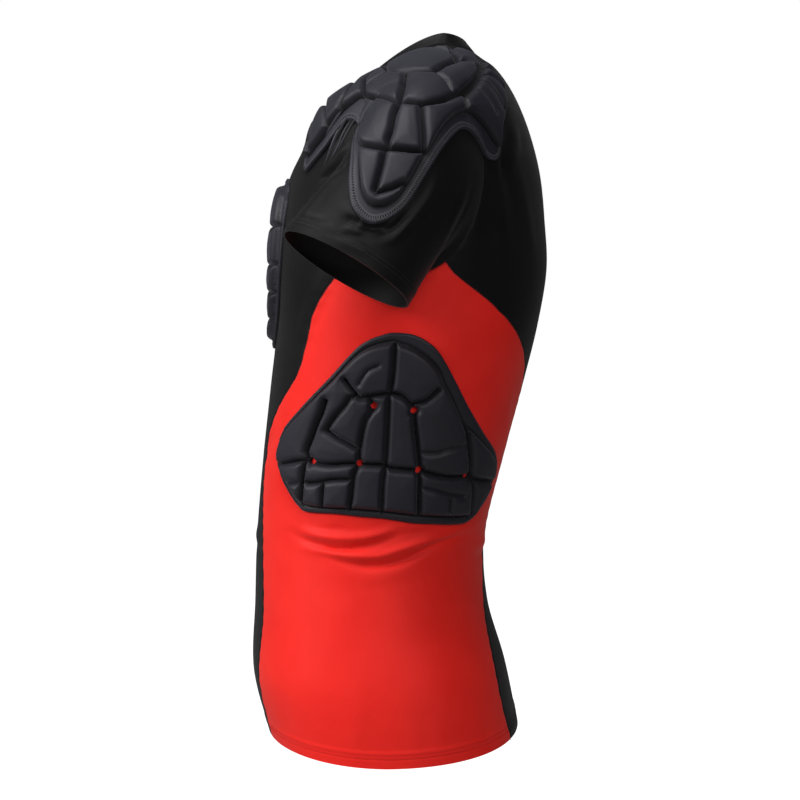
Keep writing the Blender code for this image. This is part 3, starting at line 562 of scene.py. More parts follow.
def knitMaterial(name, dark, light, roughness, look):
    made, tree, shader = emptyMaterial(name)
    place = addNode(tree, "ShaderNodeAttribute", attribute_name="clothPlace")
    sizes = [("Loop Size", look["loopSize"]), ("Mottle Size", look["mottleSize"])]
    knit = addNode(tree, "ShaderNodeGroup", node_tree=knitGroup)
    feedNode(tree, knit, [("Place", place.outputs["Vector"]), *sizes])
    mottleShare, loopShare = knitForm["toneMix"]
    tone = mathNode(tree, "ADD", mathNode(tree, "MULTIPLY", knit.outputs["Mottle"], mottleShare),
                    mathNode(tree, "MULTIPLY", knit.outputs["Loops"], loopShare))
    ramp = addNode(tree, "ShaderNodeValToRGB", [(0, tone)])
    for stop, spot, paint in zip(ramp.color_ramp.elements, knitForm["toneRange"], (dark, light)):
        stop.position = spot
        stop.color = (*paint, 1)
    # Painted shade: along the sewn grooves the colour is mixed towards black and made rougher, in place of
    # the shade that falls there
    grooveShade = addNode(tree, "ShaderNodeAttribute", attribute_name="paintedGrooveShade")
    shade = mathNode(tree, "MULTIPLY", grooveShade.outputs["Fac"], look["paintedGrooveShade"])
    mixed = [(0, shade), (6, ramp.outputs[0]), (7, (0, 0, 0, 1))]
    colour = addNode(tree, "ShaderNodeMix", mixed, data_type="RGBA")
    low, high = roughness - knitForm["roughSpread"], roughness + knitForm["roughSpread"]
    spread = [("Value", knit.outputs["Mottle"]), ("To Min", low), ("To Max", high)]
    rough = addNode(tree, "ShaderNodeMapRange", spread)
    dull = mathNode(tree, "ADD", rough.outputs[0], mathNode(tree, "MULTIPLY", shade, knitForm["sewnRough"]))
    fuzz = mathNode(tree, "MULTIPLY", knit.outputs["Fuzz"], knitForm["fuzzRelief"])
    relief = mathNode(tree, "ADD", knit.outputs["Loops"], fuzz)
    raised = [("Strength", look["bump"]), ("Distance", knitForm["reliefDepth"]), ("Height", relief)]
    bump = addNode(tree, "ShaderNodeBump", raised)
    feedNode(tree, shader, [
        ("Base Color", colour.outputs[2]), ("Roughness", dull), ("Normal", bump.outputs[0]),
        ("Sheen Weight", look["sheen"]), ("Sheen Roughness", look["sheenRoughness"]),
        ("Sheen Tint", (*look["sheenTint"], 1)), ("Specular IOR Level", look["specular"]),
    ])
    return made


# Each look: loop and mottle sizes, relief, sheen, specular, and how far painted shade darkens the sewn
# grooves
clothLook = {"loopSize": 0.9, "mottleSize": 34.0, "bump": 0.35, "sheen": 0.04, "sheenRoughness": 0.4,
             "sheenTint": (1, 1, 1), "specular": 0.11, "paintedGrooveShade": 0.8}
redLook = {**clothLook, "sheen": 0.2, "sheenTint": (1, 0.3, 0.25), "specular": 0.16}
padLook = {**clothLook, "loopSize": 1.1, "bump": 0.3, "sheen": 0.08, "specular": 0.32,
           "sheenTint": (0.8, 0.8, 1)}
# Each cloth's darkest and lightest tone, its roughness and its look
finishes = {
    "blackKnit": ((0.0030, 0.0030, 0.0034), (0.0050, 0.0050, 0.0055), 0.5, clothLook),
    "redKnit": ((0.70, 0.012, 0.008), (0.78, 0.019, 0.013), 0.55, redLook),
    "padCloth": ((0.0070, 0.0066, 0.0110), (0.0105, 0.0100, 0.0160), 0.55, padLook),
    "blackThread": ((0.012, 0.012, 0.013), (0.020, 0.020, 0.022), 0.5, clothLook),
    "redThread": ((0.45, 0.012, 0.010), (0.52, 0.018, 0.014), 0.5, redLook),
    # The pleat crests are the black cloth painted much lighter, a painted highlight along their ridges
    "pleatHighlight": ((0.036, 0.034, 0.042), (0.054, 0.051, 0.061), 0.5, padLook),
    "padThread": ((0.036, 0.035, 0.044), (0.056, 0.055, 0.068), 0.5, padLook),
}
materials = {name: knitMaterial(name, *values) for name, values in finishes.items()}
print("materials made")


# Meshes
sharpAngle = math.radians(60)
mirrorX = np.array([-1.0, 1, 1])
bothHalves = (("left", np.ones(3)), ("right", mirrorX))


def makePiece(name, points, faces, chart, finish):
    # A piece from points in mm, with its faces turned outwards and its cloth chart stored
    mesh = bpy.data.meshes.new(name)
    mesh.from_pydata((points * toMetres).tolist(), [], faces)
    made = bmesh.new()
    made.from_mesh(mesh)
    bmesh.ops.recalc_face_normals(made, faces=made.faces)
    made.to_mesh(mesh)
    made.free()
    mesh.shade_smooth()
    mesh.set_sharp_from_angle(angle=sharpAngle)
    places = mesh.attributes.new("clothPlace", "FLOAT_VECTOR", "POINT")
    full = np.zeros((len(points), 3))
    full[:, :chart.shape[-1]] = chart.reshape(len(points), -1)
    places.data.foreach_set("vector", full.ravel())
    mesh.materials.append(materials[finish])
    piece = bpy.data.objects.new(name, mesh)
    bpy.context.scene.collection.objects.link(piece)
    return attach(piece, "root")


def quads(a, b, c, d):
    return np.stack([a, b, c, d], -1).reshape(-1, 4)


def wallPiece(name, outer, inner, chart, finish, closed=False):
    # A closed wall of cloth between two grids. The last column joins the first if it is closed.
    index = np.arange(outer.shape[0] * outer.shape[1]).reshape(outer.shape[:2])
    skin = index.size
    left, right = (index, np.roll(index, -1, 1)) if closed else (index[:, :-1], index[:, 1:])
    faces = [quads(left[:-1], right[:-1], right[1:], left[1:]),
             quads(left[:-1], left[1:], right[1:], right[:-1]) + skin]
    for row in (0, -1):
        faces.append(quads(left[row], right[row], right[row] + skin, left[row] + skin))
    if not closed:
        for edge in (index[:, 0], index[:, -1]):
            faces.append(quads(edge[:-1], edge[1:], edge[1:] + skin, edge[:-1] + skin))
    points = np.concatenate([outer.reshape(-1, 3), inner.reshape(-1, 3)])
    places = np.concatenate([chart.reshape(-1, 2), chart.reshape(-1, 2)])
    return makePiece(name, points, np.concatenate(faces).tolist(), places, finish)


# A turned hem: how wide its fold is, how much it thickens the cloth, and its two rows of stitches
hemFold = {"width": 13.5, "rise": 0.5, "edge": 1.4, "stitchRows": (8.4, 11.9), "dent": 0.35, "dentWidth": 0.8}


def hemLift(distance):
    # What a turned hem adds at this distance from the cloth's lower edge
    lift = hemFold["rise"] * (1 - smoothStep((distance - hemFold["width"]) / hemFold["edge"]))
    for row in hemFold["stitchRows"]:
        lift = lift - hemFold["dent"] * np.exp(-((distance - row) / hemFold["dentWidth"]) ** 2)
    return lift


def seamLift(distance):
    # How the cloth dips into a seam
    return -clothGrid["edgeRoll"] * np.exp(-(distance / clothGrid["edgeWidth"]) ** 2)


# Small pulls where a seam gathers the stretched cloth: their rise, their reach, and the lengths of their
# waves and of the drift along them
seamPulls = {"rise": 0.22, "reach": 7.0, "wave": 2.1, "drift": 17.0, "driftSize": 2}


def pucker(distance, along):
    drift = np.sin(along / seamPulls["drift"]) * seamPulls["driftSize"]
    rise = seamPulls["rise"] * np.exp(-distance / seamPulls["reach"])
    return rise * np.sin(along / seamPulls["wave"] + drift)


def away(grid, border):
    return np.linalg.norm(grid - border, axis=-1)


def roundEdge(share, least):
    # The height of a rounded edge at each share of the way in from it
    return np.sqrt(np.clip(1 - (1 - np.clip(share, 0, 1)) ** 2, least, 1))


def clothWalls(skin, ways, lift, trim):
    # Outer and inner points of cloth on a skin: folds move both of them, and seams and hems the outer one
    return skin + ways * (lift + trim)[..., None], skin + ways * (lift - clothGrid["wall"])[..., None]


def bodyCloth(rows, angles):
    # Outer and inner points and the chart of a body panel with its folds, seams and hem
    skin, ways = bodyPoints(rows, angles), bodyNormals(rows, angles)
    sides = np.minimum(away(skin, skin[:, :1]), away(skin, skin[:, -1:]))
    trim = seamLift(sides) + hemLift(away(skin, skin[:1])) + pucker(sides, skin[..., 2])
    trim = trim + seamLift(away(skin, skin[-1:]))
    return *clothWalls(skin, ways, clothLift(rows, angles), trim), chartPlaces(rows, angles)


def finishSheet(piece, node, slot, flat, area, mates):
    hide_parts(node)


panelCuts = {"front": ((0.46, 0.66), 0.152), "back": ((0.43, 0.70), 0.135), "side": ((0.34, 0.46), 0.123),
             "sleeve": ((0.43, 0.18), 0.039), "collar": ((0.46, 0.0135), 0.0059)}
outerGrids = {}
for name, front in (("front", True), ("back", False)):
    outer, inner, chart = bodyCloth(*mainPanel(front))
    outerGrids[name] = outer
    panel = wallPiece("cloth_" + name, outer, inner, chart, "blackKnit")
    finishSheet(panel, name, "black_knit", *panelCuts[name], ["collar_band"])
outer, inner, chart = bodyCloth(*sidePanel())
outerGrids["side"] = outer
for side, mirror in bothHalves:
    panel = wallPiece("cloth_side_" + side, outer * mirror, inner * mirror, chart, "redKnit")
    finishSheet(panel, "side_panel_" + side, "red_knit", *panelCuts["side"], ["cloth_front"])
print("body panels made")

sleeveRings, sleeveTurns = sleeveSkin()
sleeveWays = gridNormals(sleeveRings, True)
sleeveDown = np.broadcast_to(sleeveCut["length"] * sleeveShares[:, None], sleeveRings.shape[:2])
sleevePlaces = np.stack([np.broadcast_to(np.degrees(sleeveTurns), sleeveDown.shape), sleeveDown], -1)
sleeveLift = foldHeight(sleevePlaces, sleeveCut["folds"]) + softWaves(sleeveRings, "sleeve")
sleeveLift = sleeveLift + sideLift(sleeveRings, sleeveWays)
sleeveTrim = seamLift(away(sleeveRings, sleeveRings[:1])) + hemLift(away(sleeveRings, sleeveRings[-1:]))
outer, inner = clothWalls(sleeveRings, sleeveWays, sleeveLift, sleeveTrim)
outerGrids["sleeve"] = outer
sleeveRound = np.broadcast_to(sleeveTurns * sleeveCut["chartRadius"], sleeveDown.shape)
chart = np.stack([sleeveRound, sleeveDown], -1)
for side, mirror in bothHalves:
    walls = outer * mirror, inner * mirror
    sleeve = wallPiece("cloth_sleeve_" + side, *walls, chart, "blackKnit", closed=True)
    finishSheet(sleeve, "sleeve_" + side, "black_knit", *panelCuts["sleeve"], ["cloth_front", "cloth_back"])
print("sleeves made")

# The neckband, a double band of cloth with a rounded fold along its top
collarBand = {"proud": 0.6, "wall": 2.4, "columns": 260, "rows": 22, "crowding": 0.9, "round": 1.6,
              "edgeShare": 0.02, "chartRadius": 68}
bandRows = bodySkin["neckRow"] + np.linspace(0, 1, collarBand["rows"] + 1) ** collarBand["crowding"]
bandAngles = np.linspace(0, 360, collarBand["columns"], endpoint=False)
bandRows, bandAngles = (a.copy() for a in np.meshgrid(bandRows, bandAngles, indexing="ij"))
bandSkin, bandWays = bodyPoints(bandRows, bandAngles), bodyNormals(bandRows, bandAngles)
fromTop, fromSeam = away(bandSkin, bandSkin[-1:]), away(bandSkin, bandSkin[:1])
bandHalf = collarBand["wall"] / 2
roundness = roundEdge(fromTop / collarBand["round"], collarBand["edgeShare"])
bandMiddle = collarBand["proud"] - bandHalf
outer = bandSkin + bandWays * (bandMiddle + bandHalf * roundness + seamLift(fromSeam))[..., None]
inner = bandSkin + bandWays * (bandMiddle - bandHalf * roundness)[..., None]
bandChart = np.stack([np.radians(bandAngles) * collarBand["chartRadius"], fromSeam], -1)
collar = wallPiece("collar_band", outer, inner, bandChart, "blackKnit", closed=True)
finishSheet(collar, "collar", "black_knit", *panelCuts["collar"], ["cloth_front", "cloth_back"])
print("collar made")


# Quilted pads. Each pattern has its outline, the loop that its cells fill, and its grooves as the share
# of the cells' height that each takes away, half the width of its floor, and its line.
padForm = {
    "rimThick": 2.0,
    "rimWidth": 7.0,
    "cellThick": 8.6,
    "cellRound": 5.4,
    "cellPowers": (2.4, 0.8),
    "crown": 0.9,
    "crownReach": 16,
    "edgeRound": 1.2,
    "edgeShares": (0.35, 0.05),
    "under": 0.35,
    "ventRadius": 3.0,
    "ventSides": 20,
    "ventLip": 1.0,
    # A groove deeper than this share is a sewn line with a dent along it and painted shade in it
    "sewnDepth": 0.75,
    "dent": 1.1,
    "dentWidth": 1.2,
    "dentFade": (4, 0.25),
    # How far apart the points of the mesh are on top and below, and what room they leave
    "step": 1.45,
    "underStep": 6.0,
    "lineStep": 4.0,
    "grooveRoom": 0.6,
    "edgeRoom": (0.55, 2.0),
    "ventRoom": (0.6, 1.5),
    "leastGap": 0.7,
}

# The shoulder pad's pattern, in mm forward and down the sleeve from its middle, laid on the cloth from
# a point inside the shoulder
shoulderPad = {
    "eye": Vector((120, 10, -150)),
    "out": Vector((0.5, -0.05, 0.86)).normalized(),
    "down": Vector((130, -35, -13)),
    "radius": 118.0,
    "smoothing": 10.0,
    "smoothShares": (0.4, 0.15),
    "rayLength": 260.0,
    "missStep": 0.7,
    "lift": 1.6,
    "rimStitches": (6.4, 1.2, 4.6),
    "outline": [
        (152, 3), (134, 9), (112, 11), (88, 9), (66, 10), (52, 23), (44, 50), (33, 84), (27, 108),
        (19, 127), (4, 137), (-12, 133), (-26, 118), (-37, 88), (-45, 58), (-55, 26), (-67, 11),
        (-84, 2), (-102, -6), (-112, -18), (-109, -31), (-95, -41), (-85, -58), (-72, -80), (-48, -92),
        (-22, -94), (4, -88), (28, -86), (46, -66), (66, -50), (96, -45), (124, -37), (146, -18),
    ],
    "quilt": [
        (44, 1), (60, -1), (84, -2), (108, -2), (130, -4), (141, -8), (139, -18), (122, -30), (95, -38),
        (64, -43), (44, -60), (28, -79), (4, -82), (-22, -88), (-46, -85), (-66, -75), (-78, -56),
        (-88, -41), (-101, -30), (-97, -25), (-79, -19), (-68, -14), (-58, -7), (-51, 3), (-45, 17),
        (-39, 38), (-36, 53), (-33, 68), (-28, 82), (-25, 93), (-21, 105), (-15, 117), (-7, 124),
        (1, 126), (8, 123), (14, 115), (18, 104), (22, 90), (26, 74), (33, 50), (38, 24),
    ],
    "grooves": [
        (1.0, 0.5, [(38, -58), (32, -42), (23, -25), (13, -16), (-1, -13), (-15, -17), (-19, -32),
                    (-24, -54), (-14, -71), (6, -79), (26, -75), (38, -58)]),
        (1.0, 0.6, [(40, 3), (19, 21), (3, 34), (-9, 35), (-18, 33), (-26, 26), (-33, 15), (-40, -8)]),
        (1.0, 2.4, [(-41, -10), (-45, -28), (-45, -49), (-42, -65), (-35, -82), (-28, -95)]),
        (0.9, 0.9, [(-42, -12), (-45, -4), (-49, 3)]),
        (1.0, 0.5, [(23, -25), (26, -21), (31, -15), (40, -6)]),
        (1.0, 0.5, [(40, 3), (45, -12), (48, -30), (38, -58)]),
        (1.0, 0.6, [(7, -14), (2, 8), (-1, 34)]),
        (0.4, 0.3, [(-15, -17), (-22, -11), (-28, -6), (-33, 1)]),
        (1.0, 0.5, [(-24, -54), (-30, -62), (-36, -63), (-42, -60)]),
        (0.7, 0.5, [(-14, -71), (-12, -80), (-10, -90)]),
        (1.0, 0.6, [(22, 17), (25, 30), (27, 46), (28, 55)]),
        (1.0, 0.6, [(-1, 35), (0, 48), (-1, 63), (0, 74), (-2, 81)]),
        (1.0, 0.6, [(-17, 33), (-20, 45), (-25, 62), (-28, 76)]),
        (1.0, 0.6, [(27, 72), (22, 78), (12, 81), (3, 82), (-12, 80), (-22, 78), (-30, 74)]),
        (1.0, 0.7, [(1, 82), (1, 94), (2, 105), (3, 115)]),
        (0.8, 0.5, [(1, 117), (-4, 115), (-10, 112), (-18, 106)]),
        (1.0, 0.5, [(-48, -46), (-57, -49), (-66, -51), (-76, -53)]),
        (1.0, 0.5, [(-46, -60), (-52, -66), (-60, -70), (-70, -74)]),
        (1.0, 0.5, [(-40, -74), (-48, -80), (-58, -84)]),
        (0.35, 0.3, [(-47, -30), (-60, -34), (-72, -36)]),
        (1.0, 0.5, [(62, -46), (62, -30), (64, -14), (70, -2)]),
        (1.0, 0.5, [(97, -43), (94, -28), (92, -12), (93, -3)]),
        (1.0, 0.5, [(122, -38), (127, -26), (131, -12), (133, -4)]),
    ],
    "vents": [],
}

# The rib pad's pattern, in mm round towards the back from the side and in height
ribPad = {
    "lift": 0.8,
    "rimRow": 3.0,
    "outline": [
        (-18, -257), (-4, -256), (9, -258), (20, -263), (31, -271), (42, -284), (55, -301), (73, -323),
        (97, -346), (122, -364), (133, -376), (134, -390), (129, -404), (120, -417), (104, -425),
        (84, -425), (63, -423), (40, -421), (14, -417), (-12, -415), (-40, -413), (-70, -413), (-80, -409),
        (-92, -400), (-108, -385), (-117, -370), (-117, -356), (-110, -342), (-93, -325), (-66, -297),
        (-40, -267),
    ],
    "quilt": [
        (-13, -263), (-1, -265), (8, -268), (16, -272), (26, -279), (36, -289), (42, -299), (49, -308),
        (57, -319), (65, -330), (72, -337), (84, -345), (97, -354), (110, -363), (121, -373), (124, -384),
        (121, -398), (115, -409), (103, -417), (78, -417), (56, -415), (43, -414), (26, -412), (7, -410),
        (-25, -408), (-55, -408), (-73, -406), (-85, -399), (-98, -387), (-108, -376), (-112, -366),
        (-110, -356), (-103, -344), (-88, -327), (-62, -299), (-38, -272),
    ],
    "grooves": [
        (1.0, 0.8, [(-8, -266), (-7, -279), (-6, -294), (-6, -308)]),
        (1.0, 0.6, [(-48, -296), (-41, -303), (-32, -311), (-26, -310), (-15, -308), (-6, -307), (2, -308),
                    (9, -311), (16, -316), (21, -315), (28, -312), (36, -304)]),
        (1.0, 0.8, [(-26, -310), (-19, -318), (-24, -330), (-25, -346), (-24, -361), (-23, -368)]),
        (1.0, 0.8, [(14, -315), (19, -322), (21, -331), (26, -346), (32, -364), (35, -374), (37, -386),
                    (39, -396), (43, -414)]),
        (1.0, 0.5, [(-36, -309), (-41, -311), (-45, -319), (-51, -327), (-58, -340)]),
        (1.0, 0.5, [(-58, -340), (-47, -346), (-35, -351), (-27, -355)]),
        (0.4, 0.4, [(-35, -300), (-32, -293), (-28, -287), (-20, -283)]),
        (1.0, 1.0, [(-63, -315), (-65, -326), (-68, -335), (-71, -348), (-74, -360), (-70, -368)]),
        (1.0, 0.6, [(-110, -375), (-92, -371), (-75, -368), (-51, -370), (-31, -368), (-15, -369), (-1, -369),
                    (10, -372), (24, -373), (35, -374), (54, -379), (70, -381), (85, -381), (94, -385),
                    (122, -390)]),
        (1.0, 1.0, [(-75, -369), (-75, -387), (-74, -407)]),
        (0.6, 0.5, [(-98, -390), (-79, -388)]),
        (0.8, 0.5, [(-69, -387), (-59, -386), (-46, -383), (-30, -382)]),
        (0.8, 0.5, [(-54, -386), (-53, -396), (-52, -406)]),
        (1.0, 1.0, [(-23, -368), (-26, -378), (-25, -396), (-25, -409)]),
        (1.0, 0.6, [(-7, -308), (-5, -322), (-1, -348), (2, -369), (3, -387), (7, -411)]),
        (0.5, 0.5, [(30, -358), (47, -358), (58, -355), (76, -353)]),
        (0.5, 0.5, [(40, -389), (55, -392), (66, -395), (84, -398)]),
        (0.7, 0.4, [(70, -400), (73, -413)]),
        (1.0, 0.8, [(65, -331), (72, -341), (78, -355), (84, -371), (86, -381), (91, -386), (96, -399),
                    (101, -419)]),
    ],
    "vents": [(-19, -318), (19, -322), (-69, -368), (-23, -368), (35, -374), (85, -381)],
}

# The chest pad's pattern, in mm round from the middle of the front and in height: half of it, and the
# rows between its cells as the height at the middle and sides and how far they dip between
chestPad = {
    "middle": -90.0,
    "radius": 165.0,
    "lift": 0.8,
    "rimRow": 3.0,
    "halfOutline": [(0, -121), (36, -123), (62, -131), (74, -150), (76, -180), (72, -210), (61, -240),
                    (42, -264), (18, -276)],
    "rows": [(-163, 5), (-196, 6), (-220, 6), (-246, 5)],
    "rowForm": (1.0, 0.6),
    "halfWidth": 80,
    "spine": (-128, -272),
    "split": 40,
    "splitFoot": -196,
    "splitForm": (0.8, 0.5),
    "vents": [],
}


def finishChestPattern():
    half, edge = chestPad["halfOutline"], chestPad["halfWidth"]
    top, foot = chestPad["spine"]
    chestPad["outline"] = half + [(-x, y) for x, y in half[:0:-1]]
    chestPad["grooves"] = [(*chestPad["rowForm"], [(0, top), (0, foot)])]
    for height, dip in chestPad["rows"]:
        row = [(edge * share, height - dip * (share % 1 != 0)) for share in (-1, -0.5, 0, 0.5, 1)]
        chestPad["grooves"].append((*chestPad["rowForm"], row))
    for side in (-chestPad["split"], chestPad["split"]):
        chestPad["grooves"].append((*chestPad["splitForm"], [(side, top), (side, chestPad["splitFoot"])]))


finishChestPattern()


def rowAt(heights, column):
    # The section row whose side, column 6, or front, column 1, is at each height
    table = bodySkin["sections"][:, column]
    return halved(np.zeros(heights.shape), np.full(heights.shape, shoulder + 1),
                  lambda rows: smoothTable(table, rows) < heights)


def ribPlace(places):
    rows = rowAt(places[:, 1], 6)
    angles = np.degrees(places[:, 0] / bodySkin["chartRadius"])
    return bodyPoints(rows, angles), bodyNormals(rows, angles)


def chestPlace(places):
    rows = rowAt(places[:, 1], 1)
    angles = chestPad["middle"] + np.degrees(places[:, 0] / chestPad["radius"])
    return bodyPoints(rows, angles), bodyNormals(rows, angles)


def leftSkin():
    # The smooth skins of the left half as one surface for finding points on it
    points, faces, start = [], [], 0
    grids = [bodyPoints(*mainPanel(True)), bodyPoints(*mainPanel(False)), bodyPoints(*sidePanel())]
    grids.append(np.concatenate([sleeveRings, sleeveRings[:, :1]], 1))
    for grid in grids:
        index = start + np.arange(grid.shape[0] * grid.shape[1]).reshape(grid.shape[:2])
        faces += quads(index[:-1, :-1], index[:-1, 1:], index[1:, 1:], index[1:, :-1]).tolist()
        points += grid.reshape(-1, 3).tolist()
        start += index.size
    return BVHTree.FromPolygons(points, faces)


shoulderSkin = leftSkin()


def shoulderPoint(forward, down):
    # The cloth point this far forward and down the sleeve from the shoulder pad's middle
    out = shoulderPad["out"]
    along = (shoulderPad["down"] - out * shoulderPad["down"].dot(out)).normalized()
    ahead = along.cross(out)
    reach = math.hypot(forward, down)
    turn = reach / shoulderPad["radius"]
    way = (ahead * forward + along * down) / max(reach, 1e-9)
    look = out * math.cos(turn) + way * math.sin(turn)
    found = shoulderSkin.ray_cast(shoulderPad["eye"], look, shoulderPad["rayLength"])[0]
    return found if found else shoulderPoint(forward, down + shoulderPad["missStep"])


def shoulderPlace(places):
    # Points of the cloth and their ways out, smoothed over the pad's reach so that no seam shows through
    reach, points, ways = shoulderPad["smoothing"], [], []
    own, each = shoulderPad["smoothShares"]
    turns = ((reach, 0), (-reach, 0), (0, reach), (0, -reach))
    for forward, down in places.tolist():
        around = [shoulderPoint(forward + x, down + y) for x, y in turns]
        points.append(shoulderPoint(forward, down) * own + sum(around, Vector()) * each)
        ways.append((around[0] - around[1]).cross(around[2] - around[3]).normalized())
    return np.array(points), np.array(ways)


def inside(places, loop):
    # Whether each place lies inside a closed loop
    x, y = places[:, :1], places[:, 1:]
    ax, ay = loop[:, 0], loop[:, 1]
    bx, by = np.roll(ax, -1), np.roll(ay, -1)
    spans = (ay > y) != (by > y)
    crossing = ax + (bx - ax) * (y - ay) / np.where(by == ay, 1e-9, by - ay)
    return (spans & (x < crossing)).sum(1) % 2 == 1


def honeycomb(loop, step):
    low, high = loop.min(0), loop.max(0)
    rise = step * math.sqrt(3) / 2
    lines, columns = np.meshgrid(np.arange(int((high[1] - low[1]) / rise) + 1),
                                 np.arange(int((high[0] - low[0]) / step) + 1), indexing="ij")
    x = low[0] + step * (columns + 0.5 * (lines % 2))
    return np.stack([x.ravel(), (low[1] + rise * lines).ravel()], -1)


def ring(middle, radius, sides):
    turns = np.arange(sides) * math.tau / sides
    return np.array(middle, float) + radius * np.stack([np.cos(turns), np.sin(turns)], -1)


def cushion(distance):
    # The rounded side of a cell, from 0 in its groove to 1 on top
    inner, outer = padForm["cellPowers"]
    share = 1 - np.clip(distance / padForm["cellRound"], 0, 1)
    return np.clip(1 - share ** inner, 0, 1) ** outer


def padThickness(plan, places):
    # How thick a pad is, thin in its rim and grooves and a rounded cushion in each cell, and how far
    # each place is pulled down by a sewn line, a share that is also painted as shade into the grooves
    edge = lineDistance(places, closedLine(plan["loop"]))[0]
    reach = edge - padForm["rimWidth"]
    dent = np.zeros(len(places))
    if "quilt" in plan:
        distance = lineDistance(places, closedLine(plan["quiltLoop"]))[0]
        reach = np.where(inside(places, plan["quiltLoop"]), distance, 0)
        dent = np.exp(-(distance / padForm["dentWidth"]) ** 2)
    for middle in plan["vents"]:
        reach = np.minimum(reach, np.linalg.norm(places - np.array(middle), axis=1) - padForm["ventRadius"])
    full = cushion(reach)
    for depth, floor, line in plan["lines"]:
        distance = lineDistance(places, line)[0] - floor
        full = np.minimum(full, 1 - depth * (1 - cushion(distance)))
        if depth > padForm["sewnDepth"]:
            near = np.exp(-(np.maximum(distance, 0) / padForm["dentWidth"]) ** 2)
            dent = np.maximum(dent, depth * near)
            reach = np.minimum(reach, distance)
    crown = padForm["crown"] * (smoothStep(reach / padForm["crownReach"]) - 0.5)
    rise = (padForm["cellThick"] - padForm["rimThick"]) * full + crown * full
    low, least = padForm["edgeShares"]
    rounded = low + (1 - low) * roundEdge(edge / padForm["edgeRound"], least)
    length, start = padForm["dentFade"]
    dent = dent * smoothStep(edge / length - start)
    return padForm["rimThick"] * rounded + rise - padForm["dent"] * dent, dent


def flatMesh(loops, places):
    # Triangles over a pattern. The loops' points come first and in order.
    points = np.concatenate([*loops, places])
    edges, start = [], 0
    for loop in loops:
        edges += [(start + k, start + (k + 1) % len(loop)) for k in range(len(loop))]
        start += len(loop)
    made, _, faces, origins = delaunay_2d_cdt([Vector(p) for p in points.tolist()], edges, [], 0, 1e-5)[:4]
    first = [min(sources) if sources else -1 for sources in origins]
    made = np.array([tuple(p) for p in made])
    faces = np.array([face for face in faces if len(face) == 3])
    centres = made[faces].mean(1)
    keep = inside(centres, loops[0])
    for vent in loops[1:]:
        keep &= ~inside(centres, vent)
    name, order = {}, sorted(range(len(made)), key=lambda k: (first[k] < 0, first[k]))
    for rank, k in enumerate(order):
        name[k] = rank
    if [first[k] for k in order[:start]] != list(range(start)):
        raise ValueError("an outline point was lost")
    return made[order], [[name[k] for k in face] for face in faces[keep].tolist()]


def roomyPlaces(plan, places, edgeRoom, ventRoom):
    # The places within a pad that leave this much room along its edge and round its vents
    places = places[inside(places, plan["loop"])]
    places = places[lineDistance(places, closedLine(plan["loop"]))[0] > edgeRoom]
    for middle in plan["vents"]:
        places = places[np.linalg.norm(places - middle, axis=1) > padForm["ventRadius"] + ventRoom]
    return places


def quiltedPad(name, plan, placeOf):
    # Points, faces, chart and painted groove shade of a pad with a quilted top, a plain underside and its
    # vents
    step = padForm["step"]
    plan["loop"] = smoothCurve(plan["outline"], step, closed=True)
    plan["lines"] = [(*form, smoothCurve(row, padForm["lineStep"])) for *form, row in plan["grooves"]]
    vents, rims = ([ring(middle, radius, padForm["ventSides"]) for middle in plan["vents"]]
                   for radius in (padForm["ventRadius"], padForm["ventRadius"] + padForm["ventLip"]))
    grooves = [smoothCurve(row[-1], step) for row in plan["grooves"]]
    crisp = [row[-1] for row in plan["lines"]]
    if "quilt" in plan:
        plan["quiltLoop"] = smoothCurve(plan["quilt"], step, closed=True)
        grooves.append(plan["quiltLoop"])
        crisp.append(plan["quiltLoop"])
    fill = honeycomb(plan["loop"], step)
    fill = fill[inside(fill, plan["loop"])]
    for line in crisp:
        fill = fill[lineDistance(fill, line)[0] > padForm["grooveRoom"] * step]
    (edgeRoom, underEdge), (ventRoom, underVent) = padForm["edgeRoom"], padForm["ventRoom"]
    places = roomyPlaces(plan, np.concatenate([*grooves, *rims, fill]), edgeRoom * step, ventRoom)
    places = places[np.unique(np.round(places / padForm["leastGap"]), axis=0, return_index=True)[1]]
    under = roomyPlaces(plan, honeycomb(plan["loop"], padForm["underStep"]), underEdge, underVent)
    loops = [plan["loop"], *vents]
    (top, topFaces), (below, belowFaces) = flatMesh(loops, places), flatMesh(loops, under)
    skin, ways = placeOf(top)
    thick, grooveShade = padThickness(plan, top)
    points = [skin + ways * (plan["lift"] + thick)[:, None]]
    skin, ways = placeOf(below)
    points.append(skin + ways * padForm["under"])
    count, start = len(top), 0
    faces = topFaces + [[count + k for k in face[::-1]] for face in belowFaces]
    for loop in loops:
        rim = [start + k for k in range(len(loop))]
        faces += [[a, b, count + b, count + a] for a, b in zip(rim, rim[1:] + rim[:1])]
        start += len(loop)
    print(name, len(faces), "faces")
    return np.concatenate(points), faces, np.concatenate([top, below]), [*grooveShade, *np.zeros(len(below))]


for name, plan, placeOf, sides in (("shoulder_pad", shoulderPad, shoulderPlace, ("_left", "_right")),
                                   ("rib_pad", ribPad, ribPlace, ("_left", "_right")),
                                   ("chest_pad", chestPad, chestPlace, ("",))):
    points, faces, chart, grooveShade = quiltedPad(name, plan, placeOf)
    plan["top"] = BVHTree.FromPolygons(points.tolist(), faces)
    for side in sides:
        placed = points * mirrorX if side == "_right" else points
        pad = makePiece("quilted_" + name + side, placed, faces, chart, "padCloth")
        # The sewn lines' share is stored on the pad as painted shade for its grooves
        pad.data.attributes.new("paintedGrooveShade", "FLOAT", "POINT").data.foreach_set("value", grooveShade)
        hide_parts(name + side)
print("pads made")


